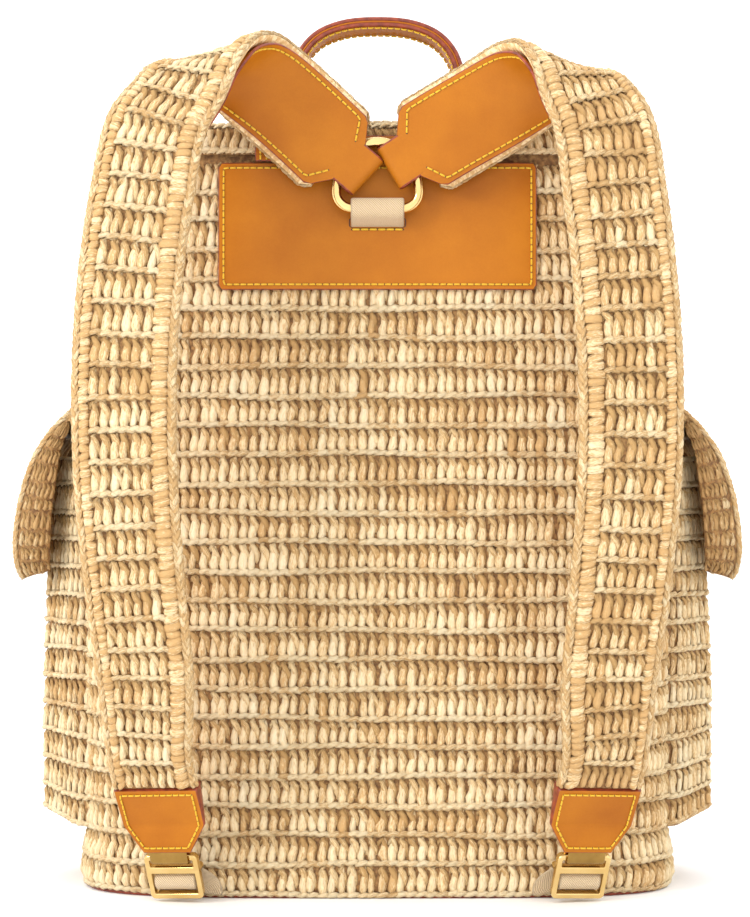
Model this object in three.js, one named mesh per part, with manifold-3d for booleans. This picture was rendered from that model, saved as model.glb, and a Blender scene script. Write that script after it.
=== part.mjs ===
// Woven straw backpack: a crocheted tub with a top flap, two side pockets, leather trim,
// and two shoulder straps that meet on a D-ring. Millimetres, +Z up, straps toward -Y.
import * as THREE from 'three';
import { mergeVertices } from 'three/addons/utils/BufferGeometryUtils.js';
import Module from 'manifold-3d';

const wasm = await Module();
wasm.setup();

// Main compartment
const bodyWidth = 349;
const bodyDepth = 190;
const bodyHeight = 434;
const wovenWall = 4;
const cornerPower = 4;
const bodySides = 48;

// Leather, webbing and the seam clearance between pieces
const leatherThickness = 2;
const baseLeatherThickness = 2.5;
const webbingThickness = 1.6;
const clearance = 0.4;

// Top flap
const flapWidth = 299;
const flapRoot = 13;
const flapDrop = 150;
const flapCrown = 8;
const flapEase = 1.8;
const closingTabWidth = 42;
const closingTabLength = 92;

// Back leather
const patchWidth = 180;
const patchHeight = 72;
const patchBelowRim = 17.7;
const patchCorner = 3;
const upperPanelWidth = 138;
const upperPanelHeight = 14.6;

// D-ring and its webbing keeper
const ringWidth = 51.4;
const ringHeight = 42.2;
const ringWire = 5;
const ringCorner = 9;
const ringBelowRim = 47;
const ringStandOff = 10;
const ringSides = 10;
const keeperWidth = 30;
const keeperThickness = 1.8;
const keeperRise = 5;

// Carry handle
const handleSpan = 112;
const handleRise = 59;
const handleWidth = 22;
const handleThickness = 6;
const handleFoot = 26;
const handleLean = 7;

// Shoulder straps
const strapWidth = 56;
const strapWoven = 8;
const strapSpread = 135;
const strapBow = 90;
const strapEndWidth = 48;
const strapLoopWidth = 24;
const strapLoopTail = 22;
const liningReveal = 2.5;

// Strap ends, buckles and adjusting webbing
const tabLength = 46;
const tabTongue = 22;
const tabTail = 8;
const buckleWidth = 31;
const buckleHeight = 28.4;
const buckleDepth = 5;
const buckleFrameBar = 3;
const buckleReach = 111.5;
const buckleStandOff = 10;
const buckleTilt = 24;
const buckleTurn = 14;
const buckleLean = 0.14;
const adjusterWidth = 23.8;

// Side pockets and their flaps
const pocketReach = 24.5;
const pocketLength = 116;
const pocketTip = 44;
const pocketBottom = 35;
const pocketBelowRim = 184;
const pocketForward = 8;
const pocketCorner = 12;
const pocketRise = 7;
const pocketFlapLength = 106;
const pocketFlapThickness = 5;
const pocketFlapReach = 36;
const pocketFlapBelowRim = 142;
const pocketFlapDrop = 111;

// Body sections: shares of the height, of the half width and of the half depth
const bodySections = [
  { height: 0.0067, width: 0.985, depth: 0.985 },
  { height: 0.02, width: 1, depth: 1 },
  { height: 0.045, width: 0.993, depth: 0.992 },
  { height: 0.07, width: 0.98, depth: 0.98 },
  { height: 0.3, width: 0.985, depth: 0.99 },
  { height: 0.62, width: 0.985, depth: 0.995 },
  { height: 0.8, width: 0.965, depth: 0.992 },
  { height: 0.9, width: 0.935, depth: 0.985 },
  { height: 0.97, width: 0.9, depth: 0.97 },
  { height: 1, width: 0.88, depth: 0.955 },
];

// Strap routes from the ring over the shoulder and down: shares of the spread, of the bow in
// front of the back panel, of the body height and of the width, then roll and turn in degrees
const leftRoute = [
  { across: 0.304, out: 0.126, height: 1.01, width: 1, roll: 44, turn: 0 },
  { across: 0.444, out: 0.156, height: 1.048, width: 1, roll: 43, turn: 3 },
  { across: 0.541, out: 0.233, height: 1.07, width: 1, roll: 36, turn: 14 },
  { across: 0.637, out: 0.378, height: 1.08, width: 1, roll: 20, turn: 22 },
  { across: 0.733, out: 0.567, height: 1.064, width: 1, roll: 5, turn: 20 },
  { across: 0.807, out: 0.7, height: 1.026, width: 1, roll: -3, turn: 15 },
  { across: 0.881, out: 0.8, height: 0.986, width: 1, roll: -6, turn: 12 },
  { across: 0.933, out: 0.889, height: 0.903, width: 1, roll: -7, turn: 9 },
  { across: 0.978, out: 0.956, height: 0.795, width: 1, roll: -5, turn: 8 },
  { across: 1, out: 0.989, height: 0.668, width: 1, roll: -2, turn: 8 },
  { across: 0.993, out: 0.978, height: 0.541, width: 0.99, roll: 0, turn: 8 },
  { across: 0.963, out: 0.878, height: 0.415, width: 0.97, roll: 2, turn: 9 },
  { across: 0.93, out: 0.722, height: 0.3, width: 0.94, roll: 3, turn: 11 },
];
const rightRoute = [
  { across: 0.296, out: 0.126, height: 0.996, width: 1, roll: 56, turn: 0 },
  { across: 0.474, out: 0.156, height: 1.028, width: 1, roll: 55, turn: 3 },
  { across: 0.607, out: 0.233, height: 1.053, width: 1, roll: 46, turn: 14 },
  { across: 0.711, out: 0.378, height: 1.067, width: 1, roll: 28, turn: 24 },
  { across: 0.793, out: 0.567, height: 1.058, width: 1, roll: 9, turn: 22 },
  { across: 0.848, out: 0.7, height: 1.026, width: 1, roll: -1, turn: 16 },
  { across: 0.904, out: 0.8, height: 0.986, width: 1, roll: -5, turn: 12 },
  { across: 0.941, out: 0.889, height: 0.903, width: 1, roll: -7, turn: 9 },
  { across: 0.978, out: 0.956, height: 0.795, width: 1, roll: -5, turn: 8 },
  { across: 1, out: 0.989, height: 0.668, width: 1, roll: -2, turn: 8 },
  { across: 0.993, out: 0.978, height: 0.541, width: 0.99, roll: 0, turn: 8 },
  { across: 0.963, out: 0.878, height: 0.415, width: 0.97, roll: 2, turn: 9 },
  { across: 0.93, out: 0.722, height: 0.3, width: 0.94, roll: 3, turn: 11 },
];

// Where each strap folds on the ring: shares of the ring's width and height from its centre,
// and the slope of the strap there in degrees
const strapSides = [
  { name: 'left', side: -1, foldAcross: 0.1, foldUp: -0.045, slope: 40, route: leftRoute },
  { name: 'right', side: 1, foldAcross: 0.117, foldUp: 0.071, slope: 33, route: rightRoute },
];
const strapShoulder = 21;

// Pocket wall: share of its height, share of the reach beyond the body
const pocketSections = [
  { height: 0, reach: 1 },
  { height: 0.38, reach: 1 },
  { height: 0.6, reach: 0.94 },
  { height: 0.83, reach: 0.85 },
  { height: 1, reach: 0.68 },
];

// Pocket flap profile from its seam down: shares of the drop, of the reach and of the length
const pocketFlapSections = [
  { drop: 0, reach: 0, length: 0.97 },
  { drop: 0.09, reach: 0, length: 0.99 },
  { drop: 0.155, reach: 0.1, length: 1 },
  { drop: 0.21, reach: 0.27, length: 1 },
  { drop: 0.29, reach: 0.49, length: 1 },
  { drop: 0.39, reach: 0.69, length: 1 },
  { drop: 0.5, reach: 0.82, length: 1 },
  { drop: 0.62, reach: 0.92, length: 1 },
  { drop: 0.74, reach: 0.98, length: 1 },
  { drop: 0.84, reach: 1, length: 0.99 },
  { drop: 0.92, reach: 0.98, length: 0.94 },
  { drop: 0.97, reach: 0.94, length: 0.86 },
  { drop: 1, reach: 0.88, length: 0.76 },
];

// Materials
const finishes = {
  straw: new THREE.MeshStandardMaterial({ color: 0xe3cf9e, roughness: 0.85 }),
  leather: new THREE.MeshStandardMaterial({ color: 0xc9762b, roughness: 0.55 }),
  webbing: new THREE.MeshStandardMaterial({ color: 0xd9c4a0, roughness: 0.8 }),
  gold: new THREE.MeshStandardMaterial({ color: 0xd6b873, roughness: 0.25, metalness: 1 }),
};

// Helpers
const point = (x, y, z) => new THREE.Vector3(x, y, z);
const radians = THREE.MathUtils.degToRad;
const lerp = THREE.MathUtils.lerp;

// Turns a geometry's faces outward
function faceOut(geometry) {
  const position = geometry.getAttribute('position');
  const index = geometry.getIndex().array;
  const corner = [point(0, 0, 0), point(0, 0, 0), point(0, 0, 0)];
  let volume = 0;
  for (let i = 0; i < index.length; i += 3) {
    corner.forEach((vertex, k) => vertex.fromBufferAttribute(position, index[i + k]));
    volume += corner[0].dot(corner[1].clone().cross(corner[2]));
  }
  if (volume < 0) index.reverse();
  geometry.computeVertexNormals();
  return geometry;
}

// Solid skinned through rings of equal count; a loop joins its last ring to its first
function loft(rings, isLoop = false) {
  const count = rings[0].length;
  const index = [];
  const quad = (a, b, c, d) => index.push(a, b, c, a, c, d);
  const spans = isLoop ? rings.length : rings.length - 1;
  for (let r = 0; r < spans; r += 1) {
    const here = r * count;
    const next = ((r + 1) % rings.length) * count;
    for (let i = 0; i < count; i += 1) {
      const j = (i + 1) % count;
      quad(here + i, here + j, next + j, next + i);
    }
  }
  if (!isLoop) {
    const last = (rings.length - 1) * count;
    for (let i = 0; i < count / 2 - 1; i += 1) {
      const far = count - 1 - i;
      quad(i + 1, i, far, far - 1);
      quad(last + i, last + i + 1, last + far - 1, last + far);
    }
  }
  const geometry = new THREE.BufferGeometry().setFromPoints(rings.flat());
  geometry.setIndex(new THREE.BufferAttribute(new Uint32Array(index), 1));
  return faceOut(geometry);
}

// Boolean solid of a geometry, and back
function solidOf(geometry) {
  const bare = geometry.clone();
  ['normal', 'uv'].forEach((name) => bare.deleteAttribute(name));
  const merged = mergeVertices(bare, 1e-4);
  return new wasm.Manifold(new wasm.Mesh({
    numProp: 3,
    vertProperties: new Float32Array(merged.getAttribute('position').array),
    triVerts: new Uint32Array(merged.getIndex().array),
  }));
}

function geometryOf(solid) {
  const mesh = solid.getMesh();
  const geometry = new THREE.BufferGeometry();
  geometry.setAttribute('position', new THREE.BufferAttribute(mesh.vertProperties, 3));
  geometry.setIndex(new THREE.BufferAttribute(mesh.triVerts, 1));
  return faceOut(geometry);
}

// Box solid with its centre and size
function boxGeometry(centre, size) {
  return new THREE.BoxGeometry(size.x, size.y, size.z).translate(centre.x, centre.y, centre.z);
}

// Ribbon sections in shares of the width and of the thickness: flat, and with rounded edges
const flatSection = [[0.5, -0.5], [0.5, 0.5], [-0.5, 0.5], [-0.5, -0.5]];

function roundedSection(edge, steps) {
  const points = [];
  const corners = [[1, -1], [1, 1], [-1, 1], [-1, -1]];
  corners.forEach(([across, out], quarter) => {
    for (let k = 0; k <= steps; k += 1) {
      const angle = (Math.PI / 2) * (quarter - 1 + k / steps);
      points.push([
        across * (0.5 - edge) + edge * Math.cos(angle),
        out * 0.25 + 0.25 * Math.sin(angle),
      ]);
    }
  });
  return points;
}

const paddedSection = roundedSection(0.07, 2);

// Ribbon through rows of { centre, across, width, thickness, shift, along }; a row's own along
// squares its end, and side picks the outer face
function ribbon(rows, side, section) {
  const rings = rows.map((row, i) => {
    const before = rows[Math.max(i - 1, 0)].centre;
    const after = rows[Math.min(i + 1, rows.length - 1)].centre;
    const along = row.along ?? after.clone().sub(before).normalize();
    const out = along.clone().cross(row.across).normalize().multiplyScalar(-side);
    const across = out.clone().cross(along).normalize();
    if (across.dot(row.across) < 0) across.negate();
    return section.map(([a, n]) => row.centre.clone()
      .addScaledVector(across, a * row.width)
      .addScaledVector(out, (row.shift ?? 0) + n * row.thickness));
  });
  return loft(rings);
}

// Body half width and half depth at a height
function bodyAt(z) {
  const share = z / bodyHeight;
  const upper = Math.max(bodySections.findIndex((row) => row.height >= share), 1);
  const b = bodySections[share > 1 ? bodySections.length - 1 : upper];
  const a = bodySections[share > 1 ? bodySections.length - 2 : upper - 1];
  const t = THREE.MathUtils.clamp((share - a.height) / (b.height - a.height), 0, 1);
  return {
    halfWidth: lerp(a.width, b.width, t) * (bodyWidth / 2),
    halfDepth: lerp(a.depth, b.depth, t) * (bodyDepth / 2),
  };
}

// Corners of the plan section as shares of its half width and half depth
const planShares = Array.from({ length: bodySides }, (_, k) => {
  const angle = ((k + 0.5) / bodySides) * 2 * Math.PI;
  const rounded = (value) => Math.sign(value) * Math.abs(value) ** (2 / cornerPower);
  return [rounded(Math.cos(angle)), rounded(Math.sin(angle))];
});

// Points of the rounded plan section at height z, grown by lift
function planRing(z, lift, level = z) {
  const { halfWidth, halfDepth } = bodyAt(z);
  return planShares.map(([across, along]) => (
    point(across * (halfWidth + lift), along * (halfDepth + lift), level)
  ));
}

// Depth of the body's outer face at a place across, and width of it at a place along the side
function faceDepth(x, z, lift) {
  const { halfWidth, halfDepth } = bodyAt(z);
  const share = Math.min(Math.abs(x) / (halfWidth + lift), 1);
  return (halfDepth + lift) * (1 - share ** cornerPower) ** (1 / cornerPower);
}

function sideReach(y, z, lift) {
  const { halfWidth, halfDepth } = bodyAt(z);
  const share = Math.min(Math.abs(y) / (halfDepth + lift), 1);
  return (halfWidth + lift) * (1 - share ** cornerPower) ** (1 / cornerPower);
}

// Geometry with everything cut away that lies closer to the body than the clearance
function clearOfBody(geometry) {
  const core = loft(bodySections.map((row) => planRing(row.height * bodyHeight, clearance)));
  return geometryOf(solidOf(geometry).subtract(solidOf(core)));
}

// Main compartment: an open tub with its wall all round
function bodyGeometry() {
  const heights = bodySections.map((row) => row.height * bodyHeight);
  const floor = heights[0] + wovenWall;
  const kept = heights.filter((z, i) => z > floor + wovenWall && i % 2 === 1);
  const inner = [...kept, floor].sort((a, b) => b - a);
  return loft([
    ...heights.map((z) => planRing(z, 0)),
    ...inner.map((z) => planRing(z, -wovenWall)),
  ]);
}

// Leather base under the body
function baseGeometry() {
  const underside = bodySections[0].height * bodyHeight - clearance;
  const inset = -leatherThickness / 2;
  const rings = [[0, inset - 1], [underside - baseLeatherThickness / 2, inset], [underside, inset]];
  return loft(rings.map(([z, lift]) => planRing(bodySections[0].height * bodyHeight, lift, z)));
}

// Slab that lies on the back panel; halfWidth(z) gives its outline
function backSlab(levels, halfWidth, lift, thickness, columns = 8) {
  const rings = levels.map((z) => {
    const outer = [];
    const inner = [];
    for (let k = 0; k <= columns; k += 1) {
      const x = lerp(-1, 1, k / columns) * halfWidth(z);
      outer.push(point(x, -faceDepth(x, z, lift + thickness), z));
      inner.push(point(x, -faceDepth(x, z, lift), z));
    }
    return [...outer, ...inner.reverse()];
  });
  return loft(rings);
}

// Half width of a rectangle with rounded corners, at a height
function cornered(width, bottom, top, radius) {
  return (z) => {
    const nearest = Math.min(z - bottom, top - z);
    const inside = Math.max(radius - nearest, 0);
    return width / 2 - radius + Math.sqrt(Math.max(radius ** 2 - inside ** 2, 0));
  };
}

const patchTop = bodyHeight - patchBelowRim;
const patchBottom = patchTop - patchHeight;
const ringBase = bodyHeight - ringBelowRim;
const ringY = -(faceDepth(0, ringBase, 0) + clearance + leatherThickness + ringStandOff - 1);
const ringBar = ringBase + ringWire / 2;
const ringMiddle = ringBase + ringHeight / 2;

// Leather patch with a slot for the keeper
function patchGeometry() {
  const radius = patchCorner;
  const levels = [0, radius * 0.3, radius, patchHeight / 2, patchHeight - radius,
    patchHeight - radius * 0.3, patchHeight].map((rise) => patchBottom + rise);
  const outline = cornered(patchWidth, patchBottom, patchTop, radius);
  const sheet = backSlab(levels, outline, clearance, leatherThickness);
  const slotHeight = keeperThickness * 2 + keeperGap + clearance * 2;
  const slot = boxGeometry(
    point(0, -bodyDepth / 2, keeperSlotZ),
    point(keeperWidth + clearance * 2, bodyDepth / 4, slotHeight),
  );
  return geometryOf(solidOf(sheet).subtract(solidOf(slot)));
}

// Leather strip over the flap's root, above the patch
function upperPanelGeometry() {
  const bottom = patchTop + clearance;
  const top = bottom + upperPanelHeight;
  const lift = clearance * 2 + wovenWall;
  return backSlab([bottom, top], () => upperPanelWidth / 2, lift, leatherThickness);
}

// D-ring centreline: straight foot, round corners and an elliptical bow
function ringCentreline() {
  const reach = (ringWidth - ringWire) / 2;
  const shoulder = ringBar + ringCorner;
  const bow = ringHeight - ringWire - ringCorner;
  const path = [];
  for (let k = 0; k <= 20; k += 1) {
    const angle = (Math.PI * k) / 20;
    path.push([reach * Math.cos(angle), shoulder + bow * Math.sin(angle)]);
  }
  for (let k = 1; k <= 5; k += 1) {
    const angle = Math.PI + (Math.PI / 2) * (k / 5);
    path.push([
      -(reach - ringCorner) + ringCorner * Math.cos(angle),
      shoulder + ringCorner * Math.sin(angle),
    ]);
  }
  for (let k = 0; k < 5; k += 1) {
    const angle = Math.PI * 1.5 + (Math.PI / 2) * (k / 5);
    path.push([
      reach - ringCorner + ringCorner * Math.cos(angle),
      shoulder + ringCorner * Math.sin(angle),
    ]);
  }
  return path;
}

function ringGeometry() {
  const path = ringCentreline();
  const rings = path.map(([x, z], i) => {
    const [x0, z0] = path[(i - 1 + path.length) % path.length];
    const [x1, z1] = path[(i + 1) % path.length];
    const length = Math.hypot(x1 - x0, z1 - z0);
    const outward = [(z1 - z0) / length, -(x1 - x0) / length];
    return Array.from({ length: ringSides }, (_, k) => {
      const angle = (k / ringSides) * 2 * Math.PI;
      const off = (ringWire / 2) * Math.cos(angle);
      const y = ringY + (ringWire / 2) * Math.sin(angle);
      return point(x + outward[0] * off, y, z + outward[1] * off);
    });
  });
  return loft(rings, true);
}

const keeperGap = 1;
const keeperSlotZ = ringBar - keeperRise - keeperThickness / 2 - 1.5;

// Webbing loop from the slot round the ring's foot and back
function keeperGeometry() {
  const halfLoop = ringWire / 2 + clearance + keeperThickness / 2;
  const plySpread = (keeperGap + keeperThickness) / 2;
  const tail = -(faceDepth(0, keeperSlotZ, 0) + clearance);
  const slotFront = tail - leatherThickness - 1;
  const path = [[tail, keeperSlotZ - plySpread], [slotFront, keeperSlotZ - plySpread]];
  for (let degrees = -60; degrees <= 210; degrees += 30) {
    const angle = radians(degrees);
    path.push([ringY - halfLoop * Math.cos(angle), ringBar + keeperRise * Math.sin(angle)]);
  }
  path.push([slotFront, keeperSlotZ + plySpread], [tail, keeperSlotZ + plySpread]);
  const rows = path.map(([y, z]) => ({
    centre: point(0, y, z),
    across: point(1, 0, 0),
    width: keeperWidth,
    thickness: keeperThickness,
  }));
  return ribbon(rows, -1, flatSection);
}

// Top flap: root on the back panel, over the rim, down the front
function flapGeometry() {
  const rim = bodyHeight;
  const grow = clearance + wovenWall;
  const columns = planShares.filter(([across, along]) => along > 0.5);
  const reach = Math.max(...columns.map(([across]) => across));
  const stretch = flapWidth / (2 * reach * bodyAt(rim).halfWidth);
  const wallRow = (z, front, lift) => ([across, along]) => {
    const { halfWidth, halfDepth } = bodyAt(z);
    return point(across * stretch * (halfWidth + lift), front * along * (halfDepth + lift), z);
  };
  const dropRow = (share, width, lift) => ([across]) => {
    const z = rim - flapDrop * share;
    const x = across * stretch * width * bodyAt(rim).halfWidth;
    return point(x, faceDepth(x, z, lift + flapEase), z);
  };
  const topRow = (share, rise) => ([across, along]) => {
    const { halfWidth, halfDepth } = bodyAt(rim);
    const dome = flapCrown * (1 - across ** 2) * (1 - share ** 2);
    const x = across * stretch * halfWidth;
    return point(x, share * along * halfDepth, rim + clearance + dome + rise);
  };
  const bothFaces = (row, ...place) => [row(...place, grow), row(...place, clearance)];
  const rows = [
    bothFaces(wallRow, rim - flapRoot, -1),
    bothFaces(wallRow, rim - flapRoot * 0.4, -1),
    [topRow(-1.045, wovenWall * 0.6), topRow(-1 - clearance / rim, 0)],
    ...[-0.93, -0.6, 0, 0.6, 0.93].map((share) => [topRow(share, wovenWall), topRow(share, 0)]),
    [topRow(1.045, wovenWall * 0.6), topRow(1 + clearance / rim, 0)],
    bothFaces(wallRow, rim - flapDrop * 0.06, 1),
    ...[[0.35, 0.99], [0.7, 0.95], [0.9, 0.89], [1, 0.8]].map(([share, width]) => (
      bothFaces(dropRow, share, width)
    )),
  ];
  return clearOfBody(loft(rows.map(([outer, inner]) => (
    [...columns.map(outer), ...columns.map(inner).reverse()]
  ))));
}

// Leather tab that closes the flap, on its front
function closingTabGeometry() {
  const top = bodyHeight - flapDrop * 0.55;
  const bottom = top - closingTabLength;
  const radius = closingTabWidth / 3;
  const outline = cornered(closingTabWidth, bottom, top, radius);
  const lift = clearance * 2 + wovenWall + flapEase;
  const levels = [0, 0.06, 0.15, 0.5, 0.85, 0.94, 1].map((share) => lerp(bottom, top, share));
  return backSlab(levels, outline, lift, leatherThickness, 6).rotateZ(Math.PI);
}

// Carry handle: a foot on the flap at each end of a flat arch
function handleGeometry() {
  const arch = [
    [1, 0], [0.93, 0.06], [0.88, 0.2], [0.84, 0.45], [0.76, 0.68], [0.6, 0.86], [0.34, 0.97], [0, 1],
  ];
  const y = -faceDepth(0, bodyHeight, 0) + handleWidth;
  const seat = (x) => {
    const share = x / (flapWidth / 2);
    const along = y / faceDepth(x, bodyHeight, clearance);
    const dome = flapCrown * (1 - share ** 2) * (1 - along ** 2);
    return bodyHeight + clearance + dome + wovenWall + clearance;
  };
  const half = handleSpan / 2;
  const foot = half + handleFoot;
  const sole = leatherThickness * 1.5;
  const base = seat(half) + sole / 2 + 1;
  const path = [[foot, seat(half) + sole / 2 + 0.2, sole], ...arch.map(([across, up]) => [
    across * half,
    base + up * (handleRise - handleThickness),
    lerp(sole, handleThickness, Math.min(up * 4, 1)),
  ])];
  const mirrored = path.slice(0, -1).reverse().map(([x, z, t]) => [-x, z, t]);
  const lean = radians(handleLean);
  const rows = [...path, ...mirrored].map(([x, z, thickness]) => {
    const rise = THREE.MathUtils.clamp((z - base) / 20, 0, 1);
    return {
      centre: point(x, y, z),
      across: point(0, Math.cos(lean * rise), -Math.sin(lean * rise)),
      width: handleWidth,
      thickness,
    };
  });
  return ribbon(rows, 1, paddedSection);
}

// Frame at the foot of a strap: origin under the buckle, across toward the bag's centre
function fasteningFrame(side) {
  const tilt = radians(buckleTilt);
  const turn = radians(buckleTurn);
  const up = point(side * buckleLean, -Math.sin(tilt), Math.cos(tilt)).normalize();
  const out = point(side * Math.sin(turn), -Math.cos(turn), 0);
  const across = up.clone().cross(out).normalize().multiplyScalar(-side);
  const front = across.clone().cross(up).normalize().multiplyScalar(-side);
  const floor = bodySections[0].height * bodyHeight;
  const origin = point(side * buckleReach, -bodyDepth / 2 - buckleStandOff, floor);
  const place = (v, depth) => origin.clone().addScaledVector(up, v).addScaledVector(front, depth);
  return { up, across, front, origin, place };
}

// Rows of a strap's middle surface from the ring to the end tab
function strapRows({ side, foldAcross, foldUp, slope, route }) {
  const angle = radians(slope);
  const along = point(side * Math.cos(angle), 0, Math.sin(angle));
  const fold = point(side * foldAcross * ringWidth, 0, ringMiddle + foldUp * ringHeight);
  const start = fold.clone().addScaledVector(along, strapShoulder);
  const total = strapWoven + clearance + leatherThickness;
  const plyOut = ringWire / 2 + leatherThickness / 2 + 0.5;
  start.y = ringY - plyOut + total / 2 - leatherThickness / 2;
  const key = [{ centre: start, roll: 90 - slope, turn: 0, width: 1 }];
  route.forEach((row) => key.push({
    centre: point(
      side * row.across * strapSpread,
      -bodyDepth / 2 - row.out * strapBow,
      row.height * bodyHeight,
    ),
    roll: row.roll,
    turn: row.turn,
    width: row.width,
  }));
  const foot = fasteningFrame(side);
  [strapShoulder, 0].forEach((above) => key.push({
    centre: foot.place(tabTop + clearance + above, 0),
    roll: THREE.MathUtils.radToDeg(Math.asin(foot.across.z)),
    turn: buckleTurn,
    width: strapEndWidth / strapWidth,
  }));
  const centres = new THREE.CatmullRomCurve3(key.map((row) => row.centre), false, 'centripetal');
  const lies = new THREE.CatmullRomCurve3(key.map((row) => point(row.roll, row.turn, row.width)));
  const steps = (key.length - 1) * 2;
  return Array.from({ length: steps + 1 }, (_, k) => {
    const lie = lies.getPoint(k / steps);
    const roll = radians(lie.x);
    const turn = radians(lie.y);
    return {
      centre: centres.getPoint(k / steps),
      across: point(
        -side * Math.cos(turn) * Math.cos(roll),
        -Math.sin(turn),
        Math.cos(turn) * Math.sin(roll),
      ),
      width: lie.z * strapWidth,
      thickness: strapWoven,
      along: k === steps ? foot.up.clone().negate() : undefined,
    };
  });
}

const buckleBars = { bottom: 3.4, window: 16.4, main: 20.9, opening: 25 };
const tabTop = buckleHeight + tabLength - 1.6;

// Woven outer layer of a strap
function strapGeometry(strap) {
  const total = strapWoven + clearance + leatherThickness;
  const rows = strapRows(strap).map((row) => ({ ...row, shift: (total - strapWoven) / 2 }));
  return ribbon(rows, strap.side, paddedSection);
}

// Leather inner layer of a strap, with the loop that folds round the ring
function liningGeometry(strap) {
  const total = strapWoven + clearance + leatherThickness;
  const rows = strapRows(strap).map((row) => ({
    ...row,
    width: row.width - 2 * liningReveal,
    thickness: leatherThickness,
    shift: -(total - leatherThickness) / 2,
  }));
  const angle = radians(strap.slope);
  const along = point(strap.side * Math.cos(angle), 0, Math.sin(angle));
  const fold = point(strap.side * strap.foldAcross * ringWidth, 0, ringMiddle + strap.foldUp * ringHeight);
  const radius = ringWire / 2 + leatherThickness / 2 + 0.5;
  const turnCentre = radius + leatherThickness / 2;
  const loop = [[strapLoopTail, radius], [turnCentre + 6, radius]];
  for (let degrees = 90; degrees >= -90; degrees -= 30) {
    const bend = radians(degrees);
    loop.push([turnCentre - radius * Math.cos(bend), radius * Math.sin(bend)]);
  }
  loop.push([turnCentre + 6, -radius], [strapShoulder - 4, -radius]);
  const across = rows[0].across;
  const loopRows = loop.map(([run, depth]) => ({
    centre: fold.clone().addScaledVector(along, run).setY(ringY + depth),
    across,
    width: strapLoopWidth,
    thickness: leatherThickness,
  }));
  return ribbon([...loopRows, ...rows], strap.side, [...flatSection].reverse());
}

// Leather tab at a strap's end, folded round the buckle's top bar
function endTabGeometry(side) {
  const foot = fasteningFrame(side);
  const barMiddle = (buckleBars.opening + buckleHeight) / 2;
  const barHalf = (buckleHeight - buckleBars.opening) / 2;
  const ply = buckleDepth / 2 + leatherThickness / 2 + 0.5;
  const bend = barHalf + leatherThickness / 2 + 0.5;
  const total = strapWoven + clearance + leatherThickness;
  const upTab = (share) => lerp(barMiddle, tabTop, share);
  const path = [[barMiddle + tabTail, -ply, tabTongue, leatherThickness]];
  for (let degrees = 180; degrees <= 360; degrees += 30) {
    const angle = radians(degrees);
    path.push([barMiddle + bend * Math.sin(angle), ply * Math.cos(angle), tabTongue, leatherThickness]);
  }
  path.push(
    [barMiddle + 3, ply, tabTongue * 1.06, leatherThickness],
    [upTab(0.24), ply * 0.6, lerp(tabTongue, strapEndWidth, 0.42), leatherThickness * 1.2],
    [upTab(0.46), 0, strapEndWidth * 0.97, leatherThickness * 1.6],
    [upTab(0.7), 0, strapEndWidth, total * 0.6],
    [tabTop, 0, strapEndWidth, total],
  );
  const rows = path.map(([v, depth, width, thickness]) => ({
    centre: foot.place(v, depth),
    across: foot.across,
    width,
    thickness,
    along: v === tabTop ? foot.up : undefined,
  }));
  return ribbon(rows, side, flatSection);
}

// Buckle: a bevelled frame with two openings, and a rear bar between two ears
function buckleGeometry(side) {
  const foot = fasteningFrame(side);
  const bevel = 0.8;
  const half = buckleWidth / 2 - bevel;
  const outline = new THREE.Shape();
  const corner = 2.4;
  outline.moveTo(-half + corner, bevel);
  outline.lineTo(half - corner, bevel);
  outline.quadraticCurveTo(half, bevel, half, bevel + corner);
  outline.lineTo(half, buckleHeight - bevel - corner);
  outline.quadraticCurveTo(half, buckleHeight - bevel, half - corner, buckleHeight - bevel);
  outline.lineTo(-half + corner, buckleHeight - bevel);
  outline.quadraticCurveTo(-half, buckleHeight - bevel, -half, buckleHeight - bevel - corner);
  outline.lineTo(-half, bevel + corner);
  outline.quadraticCurveTo(-half, bevel, -half + corner, bevel);
  const inner = buckleWidth / 2 - buckleFrameBar + bevel;
  const opening = (low, high) => {
    const hole = new THREE.Path();
    hole.moveTo(-inner, low - bevel);
    hole.lineTo(-inner, high + bevel);
    hole.lineTo(inner, high + bevel);
    hole.lineTo(inner, low - bevel);
    hole.closePath();
    outline.holes.push(hole);
  };
  opening(buckleBars.bottom, buckleBars.window);
  opening(buckleBars.main, buckleBars.opening);
  const plate = new THREE.ExtrudeGeometry(outline, {
    depth: buckleDepth - 2 * bevel,
    bevelThickness: bevel,
    bevelSize: bevel,
    bevelSegments: 1,
    curveSegments: 4,
  }).translate(0, 0, bevel - buckleDepth / 2);
  const ear = (sign) => boxGeometry(
    point(sign * (buckleWidth / 2 - buckleFrameBar / 2), rearBar.height, -rearBar.depth / 2 - 1),
    point(buckleFrameBar * 0.8, rearBar.size * 1.6, rearBar.depth),
  );
  const rod = boxGeometry(
    point(0, rearBar.height, -rearBar.depth),
    point(buckleWidth - buckleFrameBar, rearBar.size, rearBar.size),
  );
  const solid = solidOf(plate).add(solidOf(ear(-1))).add(solidOf(ear(1))).add(solidOf(rod));
  const basis = new THREE.Matrix4().makeBasis(
    foot.up.clone().cross(foot.front),
    foot.up,
    foot.front,
  ).setPosition(foot.origin);
  return geometryOf(solid).applyMatrix4(basis);
}

const rearBar = { height: 16.8, depth: 6.6, size: 2.4 };

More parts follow.
